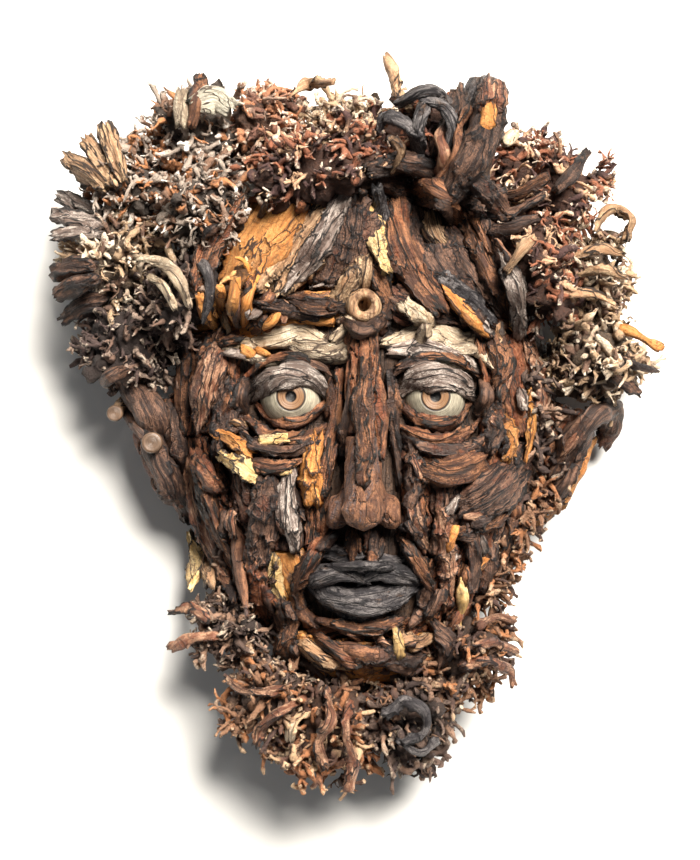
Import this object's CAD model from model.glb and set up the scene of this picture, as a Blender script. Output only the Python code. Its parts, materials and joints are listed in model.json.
"""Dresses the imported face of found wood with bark, driftwood and root hair, on a plain stage.

All places are in metres, or in millimetres where a comment says so, in the part's own frame:
X across the face, Y from chin to crown and Z out of the face.
"""

import json
import math

import bmesh
import bpy
import numpy as np
from mathutils import Matrix, Vector
from mathutils.bvhtree import BVHTree


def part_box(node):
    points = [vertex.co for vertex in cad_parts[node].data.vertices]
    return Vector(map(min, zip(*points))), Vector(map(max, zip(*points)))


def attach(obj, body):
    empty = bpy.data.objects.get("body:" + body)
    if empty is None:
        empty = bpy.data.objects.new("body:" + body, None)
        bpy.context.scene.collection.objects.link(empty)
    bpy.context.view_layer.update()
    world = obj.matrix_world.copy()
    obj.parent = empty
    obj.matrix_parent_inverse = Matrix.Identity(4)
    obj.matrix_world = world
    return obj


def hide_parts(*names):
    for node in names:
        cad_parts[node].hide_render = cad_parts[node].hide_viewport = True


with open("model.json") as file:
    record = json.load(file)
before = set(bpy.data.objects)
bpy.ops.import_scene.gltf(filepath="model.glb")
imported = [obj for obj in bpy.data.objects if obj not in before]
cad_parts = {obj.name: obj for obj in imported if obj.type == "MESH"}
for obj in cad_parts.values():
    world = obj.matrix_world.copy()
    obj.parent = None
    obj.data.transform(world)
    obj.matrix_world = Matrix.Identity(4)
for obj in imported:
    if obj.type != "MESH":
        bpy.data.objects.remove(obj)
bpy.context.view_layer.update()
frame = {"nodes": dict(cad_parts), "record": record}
NODES = frame["nodes"]
SLOTS = {row["node"]: row["material_slot"] for row in frame["record"]["subparts"]}

bl_info = {
    "name": "Found wood face",
    "version": (1, 0),
    "blender": (4, 5, 0),
    "location": "View3D > Sidebar > Found wood",
    "description": "Bark slabs, driftwood and root hair for the packed face of found wood",
    "category": "Object",
}

SLAB_NODES = [
    name
    for name in NODES
    if name.startswith(("slab_", "strip_", "cheek_", "beside_", "above_lip", "below_lip", "chin_"))
]
BURL_NODES = [
    name
    for name in NODES
    if name.startswith(("hair_", "beard_", "root_")) and name != "hair_stump"
]

MM = 0.001

# Grain of each slab in degrees from the X axis, and the kind of relief it is worn to
SLAB_GRAIN = {
    "slab_forehead_orange": (58, "worn"),
    "slab_forehead_tan": (50, "plates"),
    "slab_forehead_peak": (64, "plates"),
    "strip_forehead_streak": (100, "worn"),
    "slab_forehead_brown": (108, "furrows"),
    "slab_forehead_dark": (128, "plates"),
    "slab_above_brow_left": (8, "furrows"),
    "slab_above_brow_right": (152, "furrows"),
    "slab_temple_left": (82, "furrows"),
    "slab_temple_right": (104, "furrows"),
    "cheek_jaw_left": (108, "furrows"),
    "cheek_sliver_left": (106, "plates"),
    "cheek_block_left": (88, "plates"),
    "cheek_beside_nose_left": (80, "furrows"),
    "cheek_beside_nose_right": (98, "plates"),
    "cheek_block_right": (76, "plates"),
    "cheek_sliver_right": (72, "furrows"),
    "cheek_jaw_right": (70, "furrows"),
    "beside_mouth_left": (110, "worn"),
    "beside_mouth_right": (68, "furrows"),
    "above_lip": (4, "furrows"),
    "below_lip": (2, "furrows"),
    "chin_block": (12, "worn"),
}

# Reliefs of wood: what each row gives, in metres apart from the fissure's share of its plate
RELIEF_SIZES = (
    "Swell", "Swell Size", "Plate Length", "Plate Width",
    "Plate Step", "Fissure Depth", "Fissure Share", "Furrow Depth",
    "Furrow Pitch", "Furrow Wave", "Grit",
)
RELIEF_ROWS = {
    "plates": (0.0022, 0.03, 0.026, 0.0105, 0.003, 0.0034, 0.11, 0.001, 0.0021, 0.0015, 0.0005),
    "furrows": (0.0022, 0.034, 0.07, 0.0085, 0.0024, 0.0026, 0.12, 0.0016, 0.0026, 0.003, 0.0003),
    "worn": (0.0036, 0.026, 0.09, 0.024, 0.0016, 0.0026, 0.05, 0.0006, 0.0034, 0.004, 0.0004),
    "driftwood": (0.0016, 0.022, 0.09, 0.012, 0.001, 0.001, 0.08, 0.0022, 0.0028, 0.006, 0.0002),
    "smooth": (0.001, 0.024, 0.12, 0.04, 0.0, 0.0008, 0.015, 0.0005, 0.0022, 0.004, 0.0002),
    "burl": (0.007, 0.014, 0.014, 0.012, 0.005, 0.006, 0.16, 0.0012, 0.004, 0.003, 0.001),
}
RELIEFS = {kind: dict(zip(RELIEF_SIZES, row)) for kind, row in RELIEF_ROWS.items()}

# Colours of each wood: its body, its pale streaks, its dark fissures and its stains, then how
# much of it is stained
WOODS = {
    "ground_wood": ((0.05, 0.028, 0.018), (0.11, 0.062, 0.038), (0.008, 0.005, 0.004),
                    (0.03, 0.02, 0.016), 0.3),
    "brown_bark": ((0.056, 0.021, 0.011), (0.33, 0.145, 0.068), (0.005, 0.003, 0.002),
                   (0.17, 0.046, 0.016), 0.45),
    "dark_bark": ((0.028, 0.014, 0.01), (0.2, 0.105, 0.066), (0.004, 0.002, 0.002),
                  (0.11, 0.034, 0.016), 0.4),
    "tan_bark": ((0.3, 0.165, 0.085), (0.58, 0.4, 0.24), (0.02, 0.011, 0.007), (0.13, 0.066, 0.038), 0.35),
    "grey_bark": ((0.15, 0.105, 0.085), (0.56, 0.48, 0.42), (0.012, 0.009, 0.008),
                  (0.056, 0.032, 0.024), 0.5),
    "orange_wood": ((0.44, 0.165, 0.036), (0.65, 0.32, 0.1), (0.04, 0.018, 0.01), (0.085, 0.07, 0.07), 0.25),
    "driftwood": ((0.46, 0.345, 0.23), (0.76, 0.64, 0.47), (0.06, 0.04, 0.028), (0.3, 0.18, 0.09), 0.3),
    "eye_wood": ((0.42, 0.385, 0.3), (0.62, 0.58, 0.47), (0.07, 0.05, 0.036), (0.26, 0.22, 0.16), 0.3),
    "nose_wood": ((0.085, 0.034, 0.017), (0.26, 0.12, 0.06), (0.016, 0.009, 0.007),
                  (0.066, 0.058, 0.064), 0.3),
    "black_wood": ((0.018, 0.015, 0.017), (0.17, 0.152, 0.148), (0.005, 0.004, 0.005),
                   (0.1, 0.056, 0.032), 0.35),
    "yellow_wood": ((0.56, 0.35, 0.13), (0.78, 0.59, 0.31), (0.03, 0.02, 0.016), (0.09, 0.06, 0.05), 0.35),
    "red_bark": ((0.15, 0.054, 0.028), (0.48, 0.28, 0.17), (0.014, 0.008, 0.007), (0.06, 0.034, 0.028), 0.35),
}

# Colours of each root wood: three that its roots are mixed from, then the worn tips
ROOT_WOODS = {
    "dark_root": ((0.06, 0.037, 0.032), (0.15, 0.088, 0.062), (0.3, 0.215, 0.165), (0.56, 0.46, 0.36)),
    "red_root": ((0.4, 0.175, 0.088), (0.16, 0.074, 0.05), (0.62, 0.45, 0.33), (0.8, 0.68, 0.56)),
    "tan_root": ((0.44, 0.295, 0.18), (0.15, 0.084, 0.056), (0.6, 0.47, 0.34), (0.82, 0.71, 0.56)),
    "pale_root": ((0.36, 0.29, 0.235), (0.19, 0.105, 0.066), (0.44, 0.19, 0.08), (0.84, 0.78, 0.71)),
    "orange_wood": ((0.6, 0.24, 0.05), (0.68, 0.37, 0.14), (0.36, 0.125, 0.036), (0.82, 0.56, 0.31)),
    "beard_tan": ((0.2, 0.102, 0.056), (0.064, 0.034, 0.026), (0.34, 0.14, 0.056), (0.42, 0.29, 0.185)),
    "beard_red": ((0.28, 0.112, 0.046), (0.09, 0.042, 0.028), (0.48, 0.31, 0.18), (0.5, 0.35, 0.215)),
    "beard_grey": ((0.105, 0.066, 0.05), (0.044, 0.027, 0.023), (0.27, 0.16, 0.105), (0.44, 0.35, 0.265)),
    "red_hair": ((0.27, 0.098, 0.05), (0.07, 0.034, 0.03), (0.54, 0.33, 0.2), (0.8, 0.66, 0.52)),
}
ROOT_DEEP = (0.016, 0.010, 0.008)

# Turned wood: its body in an eye and in a cut knot, then the colours and sizes of an eye's iris
EYE_WHITE = (0.43, 0.385, 0.29)
KNOT_WHITE = (0.15, 0.09, 0.055)
IRIS = (0.13, 0.058, 0.024)
IRIS_STREAK = (0.21, 0.115, 0.052)
IRIS_RIM = (0.03, 0.02, 0.014)
PUPIL = (0.008, 0.006, 0.005)
IRIS_RADIUS = 0.0114
PUPIL_RADIUS = 0.0050
RINGS_A_METRE = 1300

# Lengths of wood laid over the slabs. Each has its wood, its relief, its width and thickness, its two
# ends as shares of the width, and the places along it: across, up and above what lies under it, in
# millimetres.
FACE_SPLINTERS = [
    ("brown_bark", "furrows", 16, 13, (0.5, 0.4), (-138, 132, 5), (-128, 166, 7), (-104, 204, 6)),
    ("orange_wood", "worn", 60, 22, (0.85, 0.7), (-103, 136, -28), (-86, 172, 18), (-62, 205, -32)),
    ("black_wood", "smooth", 7, 5, (0.1, 0.1), (-103, 172, 19), (-90, 186, 22), (-78, 204, 20)),
    ("tan_bark", "plates", 38, 15, (0.6, 0.6), (-72, 130, 7), (-49, 168, 14), (-25, 208, -28)),
    ("tan_bark", "plates", 16, 13, (0.4, 0.6), (-86, 132, 9), (-67, 160, 11), (-42, 196, 9)),
    ("grey_bark", "furrows", 16, 12, (0.2, 0.7), (-64, 130, 13), (-40, 160, 21), (-14, 210, -20)),
    ("dark_bark", "plates", 52, 15, (1.0, 0.14), (-17, 134, 8), (-9, 164, 11), (-4, 204, 9)),
    ("yellow_wood", "worn", 15, 11, (0.5, 0.5), (-3, 206, 0), (5, 188, 27), (11, 168, 29), (20, 146, 24)),
    ("black_wood", "furrows", 15, 9, (0.7, 0.6), (12, 213, 9), (16, 184, 11), (25, 152, 8)),
    ("brown_bark", "furrows", 27, 15, (0.8, 0.6), (27, 197, 6), (31, 168, 9), (44, 140, 8), (62, 116, 5)),
    ("dark_bark", "plates", 38, 15, (0.8, 0.6), (52, 190, 5), (63, 158, 8), (84, 124, 5)),
    ("tan_bark", "furrows", 15, 13, (0.9, 0.8), (58, 192, 17), (62, 178, 20), (68, 162, 15)),
    ("brown_bark", "worn", 17, 14, (0.35, 0.5), (16, 204, 11), (42, 216, 16), (64, 211, 15), (81, 190, 9)),
    ("dark_bark", "worn", 11, 10, (0.3, 0.4), (22, 196, 12), (46, 205, 16), (66, 200, 14), (74, 188, 8)),
    ("dark_bark", "furrows", 30, 16, (0.6, 0.4), (74, 176, 5), (97, 150, 9), (116, 116, 5)),
    ("brown_bark", "plates", 36, 14, (0.7, 0.5), (88, 192, 14), (108, 160, -16), (124, 122, 2)),
    ("grey_bark", "furrows", 15, 12, (0.5, 0.5), (115, 158, 8), (128, 126, 10), (132, 94, 5)),
    ("brown_bark", "furrows", 11, 10, (0.7, 0.4), (93, 206, 9), (97, 186, 11), (105, 162, 7)),
    ("black_wood", "plates", 12, 11, (0.5, 0.6), (60, 142, 10), (84, 126, 13), (106, 104, 8)),
    ("orange_wood", "furrows", 9, 8, (0.2, 0.3), (68, 132, 11), (82, 114, 14), (96, 97, 9)),
    ("orange_wood", "furrows", 8, 7, (0.2, 0.3), (76, 118, 12), (90, 104, 13), (104, 92, 9)),
    ("brown_bark", "furrows", 14, 10, (0.3, 0.4), (-60, 122, 8), (-36, 115, 11), (-14, 116, 8)),
    ("orange_wood", "smooth", 20, 14, (0.7, 0.7), (-124, 97, 5), (-106, 97, 8), (-84, 98, 5)),
    ("orange_wood", "smooth", 10, 9, (0.8, 0.7), (-120, 98, 8), (-131, 108, 12), (-135, 122, 10)),
    ("orange_wood", "smooth", 9, 9, (0.8, 0.8), (-113, 100, 10), (-119, 114, 12), (-117, 128, 10)),
    ("orange_wood", "smooth", 10, 9, (0.8, 0.8), (-106, 102, 10), (-107, 117, 12), (-105, 134, 9)),
    ("orange_wood", "smooth", 9, 8, (0.8, 0.8), (-100, 102, 10), (-96, 116, 12), (-91, 131, 9)),
    ("orange_wood", "smooth", 9, 8, (0.8, 0.7), (-94, 100, 10), (-84, 110, 12), (-79, 122, 10)),
    ("orange_wood", "smooth", 9, 8, (0.8, 0.7), (-90, 98, 8), (-76, 103, 12), (-69, 116, 12)),
    ("dark_bark", "furrows", 10, 9, (0.3, 0.3), (-88, 118, 6), (-62, 112, 9), (-38, 106, 7)),
    ("red_bark", "furrows", 22, 15, (0.6, 0.4), (-120, 92, 5), (-131, 58, 9), (-137, 18, 6)),
    ("brown_bark", "furrows", 15, 12, (0.5, 0.4), (-146, 84, 4), (-151, 50, 6), (-152, 14, 4)),
    ("dark_bark", "plates", 18, 13, (0.6, 0.5), (-114, 50, 4), (-116, 24, 6), (-120, 0, 5)),
    ("red_bark", "furrows", 14, 12, (0.3, 0.2), (-152, -8, 5), (-139, -60, 8), (-120, -104, 7),
     (-108, -130, 4)),
    ("brown_bark", "furrows", 12, 11, (0.5, 0.2), (-139, -14, 7), (-128, -58, 10), (-112, -98, 8)),
    ("brown_bark", "worn", 18, 13, (0.7, 0.6), (-143, -8, 8), (-134, -22, 11), (-124, -34, 8)),
    ("nose_wood", "smooth", 12, 9, (0.4, 0.3), (-109, -50, 5), (-104, -95, 7), (-97, -140, 4)),
    ("orange_wood", "plates", 14, 11, (0.7, 0.6), (-124, 12, 8), (-108, 4, 11), (-93, -6, 9)),
    ("yellow_wood", "plates", 12, 10, (0.6, 0.7), (-118, -8, 8), (-103, -16, 10), (-90, -26, 8)),
    ("yellow_wood", "smooth", 10, 6, (0.9, 0.9), (-84, 4, 8), (-64, 6, 9)),
    ("brown_bark", "furrows", 9, 8, (0.3, 0.3), (-90, -14, 8), (-70, -18, 10), (-52, -12, 8)),
    ("dark_bark", "plates", 26, 15, (0.8, 0.7), (-80, -30, 3), (-82, -60, 5), (-88, -92, 4)),
    ("grey_bark", "furrows", 16, 13, (0.6, 0.5), (-62, -24, 4), (-63, -52, 6), (-58, -84, 4)),
    ("brown_bark", "plates", 17, 12, (0.7, 0.4), (-92, -92, 4), (-88, -118, 5), (-80, -150, 3)),
    ("yellow_wood", "furrows", 11, 10, (0.3, 0.2), (-74, -94, 5), (-72, -122, 8), (-62, -156, 4)),
    ("tan_bark", "furrows", 9, 8, (0.3, 0.3), (-140, -80, 4), (-136, -100, 6), (-126, -120, 4)),
    ("orange_wood", "plates", 17, 12, (0.7, 0.6), (-38, 4, 5), (-42, -18, 8), (-42, -44, 5)),
    ("brown_bark", "furrows", 10, 9, (0.4, 0.3), (-26, 12, 6), (-29, -14, 8), (-34, -40, 5)),
    ("brown_bark", "worn", 30, 14, (0.5, 0.6), (42, -16, 4), (70, -22, 8), (98, -12, 5)),
    ("dark_bark", "furrows", 40, 18, (0.5, 0.5), (84, -56, 3), (108, -40, 10), (130, -20, 4)),
    ("brown_bark", "furrows", 13, 12, (0.3, 0.3), (80, -70, 3), (108, -62, 8), (132, -38, 4)),
    ("orange_wood", "worn", 8, 8, (0.5, 0.4), (139, 44, 6), (143, 16, 9), (137, -12, 6)),
    ("orange_wood", "plates", 13, 11, (0.7, 0.6), (118, 22, 6), (124, 6, 9), (120, -10, 7)),
    ("dark_bark", "plates", 14, 12, (0.6, 0.6), (104, 30, 5), (110, 12, 8), (104, -4, 6)),
    ("brown_bark", "worn", 18, 14, (0.6, 0.4), (112, 90, 5), (116, 66, 9), (110, 44, 5)),
    ("red_bark", "furrows", 14, 12, (0.4, 0.4), (140, 84, 4), (148, 56, 6), (147, 20, 4)),
    ("dark_bark", "furrows", 13, 12, (0.4, 0.3), (90, -66, 5), (93, -96, 7), (87, -128, 4)),
    ("dark_bark", "plates", 15, 12, (0.4, 0.3), (110, -66, 4), (106, -100, 6), (97, -138, 4)),
    ("brown_bark", "furrows", 11, 11, (0.4, 0.3), (128, -52, 4), (119, -92, 5), (106, -128, 4)),
    ("red_bark", "plates", 13, 12, (0.6, 0.3), (64, -56, 5), (70, -92, 7), (70, -134, 4)),
    ("yellow_wood", "worn", 7, 6, (0.3, 0.2), (82, -112, 9), (84, -132, 10), (80, -152, 6)),
    ("dark_bark", "plates", 13, 11, (0.6, 0.6), (40, 4, 5), (44, -16, 7), (42, -38, 5)),
    ("red_bark", "furrows", 11, 10, (0.4, 0.4), (38, -44, 5), (44, -66, 7), (52, -88, 5)),
    ("brown_bark", "furrows", 16, 9, (0.6, 0.3), (1, 66, 2), (-1, 30, 4), (2, -4, 3), (-1, -26, 2)),
    ("dark_bark", "worn", 10, 9, (0.4, 0.3), (-11, 58, 2), (-13, 22, 3), (-16, -12, 2)),
    ("brown_bark", "worn", 9, 9, (0.4, 0.3), (12, 62, 2), (13, 28, 3), (15, -8, 2)),
    ("brown_bark", "furrows", 9, 12, (0.4, 0.4), (-20, 60, 4), (-23, 20, 8), (-30, -30, 6)),
    ("dark_bark", "furrows", 9, 12, (0.4, 0.4), (21, 58, 4), (24, 18, 8), (31, -32, 6)),
    ("brown_bark", "worn", 10, 12, (0.6, 0.5), (-9, -72, 5), (-8, -84, 8), (-9, -97, 6)),
    ("dark_bark", "worn", 10, 12, (0.6, 0.5), (9, -72, 5), (8, -84, 8), (9, -97, 6)),
    ("brown_bark", "furrows", 12, 13, (0.4, 0.4), (-30, -74, 4), (-42, -92, 8), (-56, -118, 5)),
    ("brown_bark", "furrows", 12, 13, (0.4, 0.4), (30, -74, 4), (42, -92, 8), (56, -118, 5)),
    ("brown_bark", "worn", 11, 11, (0.4, 0.3), (-56, -118, 5), (-52, -136, 7), (-40, -150, 5)),
    ("dark_bark", "worn", 11, 11, (0.4, 0.3), (56, -118, 5), (52, -136, 7), (40, -150, 5)),
    ("brown_bark", "furrows", 10, 10, (0.3, 0.3), (-36, -146, 6), (0, -153, 9), (36, -146, 6)),
    ("tan_bark", "worn", 12, 9, (0.5, 0.5), (30, -160, 8), (46, -166, 10), (64, -158, 7)),
    ("brown_bark", "plates", 20, 12, (0.7, 0.6), (-60, -146, 5), (-64, -168, 7), (-50, -188, 5)),
    ("dark_bark", "plates", 18, 12, (0.7, 0.6), (14, -172, 7), (34, -182, 9), (56, -180, 6)),
    ("brown_bark", "furrows", 13, 10, (0.4, 0.4), (-44, -160, 8), (-22, -172, 10), (4, -182, 8)),
    ("dark_bark", "furrows", 13, 11, (0.4, 0.4), (60, -150, 6), (70, -166, 8), (66, -184, 6)),
    ("yellow_wood", "worn", 7, 6, (0.4, 0.2), (26, -154, 12), (30, -168, 14), (28, -182, 10)),
    ("tan_bark", "furrows", 10, 9, (0.3, 0.3), (-56, -160, 7), (-36, -176, 9), (-14, -186, 7)),
    ("brown_bark", "worn", 14, 10, (0.4, 0.4), (-24, -168, 7), (2, -176, 9), (28, -180, 7)),
]

# Lengths of driftwood that make the brows, and the ring of lesser wood round each eye, as above
BROW_SPLINTERS = {
    "brow_left": [
        ("driftwood", "driftwood", 19, 16, (0.4, 0.7), (-112, 80, 4), (-92, 88, 4), (-72, 90, 5),
         (-52, 95, 5), (-38, 88, 4)),
        ("driftwood", "driftwood", 23, 17, (0.5, 1.0), (-60, 84, 3), (-42, 80, 6), (-26, 78, 7),
         (-14, 80, 5)),
        ("driftwood", "driftwood", 10, 9, (0.9, 0.2), (-24, 86, 10), (-14, 97, 12), (-7, 112, 12)),
        ("driftwood", "driftwood", 9, 9, (0.4, 0.3), (-104, 74, 4), (-80, 70, 8), (-52, 70, 8),
         (-32, 64, 5)),
        ("orange_wood", "smooth", 8, 8, (0.8, 0.6), (-100, 80, 6), (-92, 76, 14)),
        ("orange_wood", "smooth", 7, 7, (0.8, 0.6), (-88, 80, 8), (-80, 76, 15)),
    ],
    "brow_right": [
        ("driftwood", "driftwood", 17, 15, (0.4, 0.7), (20, 86, 4), (42, 92, 4), (62, 94, 5),
         (82, 88, 5), (98, 92, 4)),
        ("driftwood", "driftwood", 11, 10, (0.5, 0.4), (56, 90, 8), (76, 82, 9), (94, 80, 8), (108, 66, 5)),
        ("grey_bark", "driftwood", 17, 14, (0.6, 0.3), (24, 78, 4), (48, 80, 7), (76, 74, 7), (98, 62, 4)),
        ("driftwood", "worn", 15, 12, (0.9, 0.5), (36, 118, 8), (48, 108, 12), (54, 98, 10)),
        ("driftwood", "worn", 8, 8, (0.8, 0.4), (52, 100, 10), (47, 88, 12), (42, 76, 9)),
    ],
}

LID_SPLINTERS = {
    "lid_upper": ("grey_bark", "driftwood", 22, 11, (0.3, 0.3), (30, 42, 3), (44, 54, 4), (60, 58, 5),
     (77, 54, 4), (93, 40, 3)),
    "lid_lower": ("brown_bark", "furrows", 10, 9, (0.4, 0.4), (34, 33, 3), (46, 23, 4), (61, 19, 4),
     (76, 23, 4), (88, 33, 3)),
}

MOUTH_SPLINTERS = {
    "lip_upper": [
        ("black_wood", "driftwood", 16, 24, (0.2, 0.7), (-50, -116, 2), (-32, -108, 12),
         (-12, -104, 18), (2, -109, 16)),
        ("black_wood", "driftwood", 16, 24, (0.2, 0.7), (50, -116, 2), (32, -108, 12), (12, -104, 18),
         (-2, -109, 16)),
        ("black_wood", "driftwood", 7, 9, (0.4, 0.4), (-30, -101, 18), (0, -99, 26), (30, -101, 18)),
    ],
    "lip_lower": [
        ("black_wood", "driftwood", 23, 24, (0.25, 0.25), (-46, -117, 2), (-22, -126, 13),
         (0, -128, 16), (22, -126, 13), (46, -117, 2)),
        ("black_wood", "driftwood", 9, 9, (0.3, 0.3), (-32, -133, 6), (0, -142, 10), (32, -133, 6)),
    ],
}

KNOT_SPLINTERS = [
    ("tan_bark", "plates", 13, 17, (0.6, 0.3), (-13, 98, 2), (-19, 116, 5), (-10, 138, 8), (1, 160, 6)),
    ("brown_bark", "plates", 13, 17, (0.6, 0.3), (13, 98, 2), (20, 116, 5), (12, 138, 8), (3, 160, 6)),
    ("tan_bark", "plates", 14, 12, (0.6, 0.4), (0, 126, 4), (1, 142, 10), (2, 158, 10)),
    ("dark_bark", "worn", 12, 14, (0.5, 0.5), (-17, 104, 4), (0, 94, 8), (17, 104, 4)),
]

EYE_SPLINTERS = [
    ("brown_bark", "furrows", 8, 8, (0.3, 0.3), (30, 66, 6), (52, 74, 11), (76, 72, 11), (98, 58, 6)),
    ("dark_bark", "furrows", 7, 7, (0.3, 0.3), (26, 58, 5), (38, 67, 9), (60, 70, 13)),
    ("brown_bark", "furrows", 9, 8, (0.3, 0.3), (30, 16, 6), (54, 6, 10), (80, 8, 10), (98, 22, 6)),
    ("dark_bark", "furrows", 7, 7, (0.3, 0.3), (36, 4, 5), (60, -5, 9), (86, -2, 8), (102, 10, 5)),
    ("brown_bark", "worn", 10, 10, (0.5, 0.4), (24, 52, 4), (25, 40, 7), (29, 26, 5)),
    ("dark_bark", "worn", 11, 10, (0.5, 0.4), (98, 56, 4), (103, 42, 7), (98, 26, 5)),
]

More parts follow.
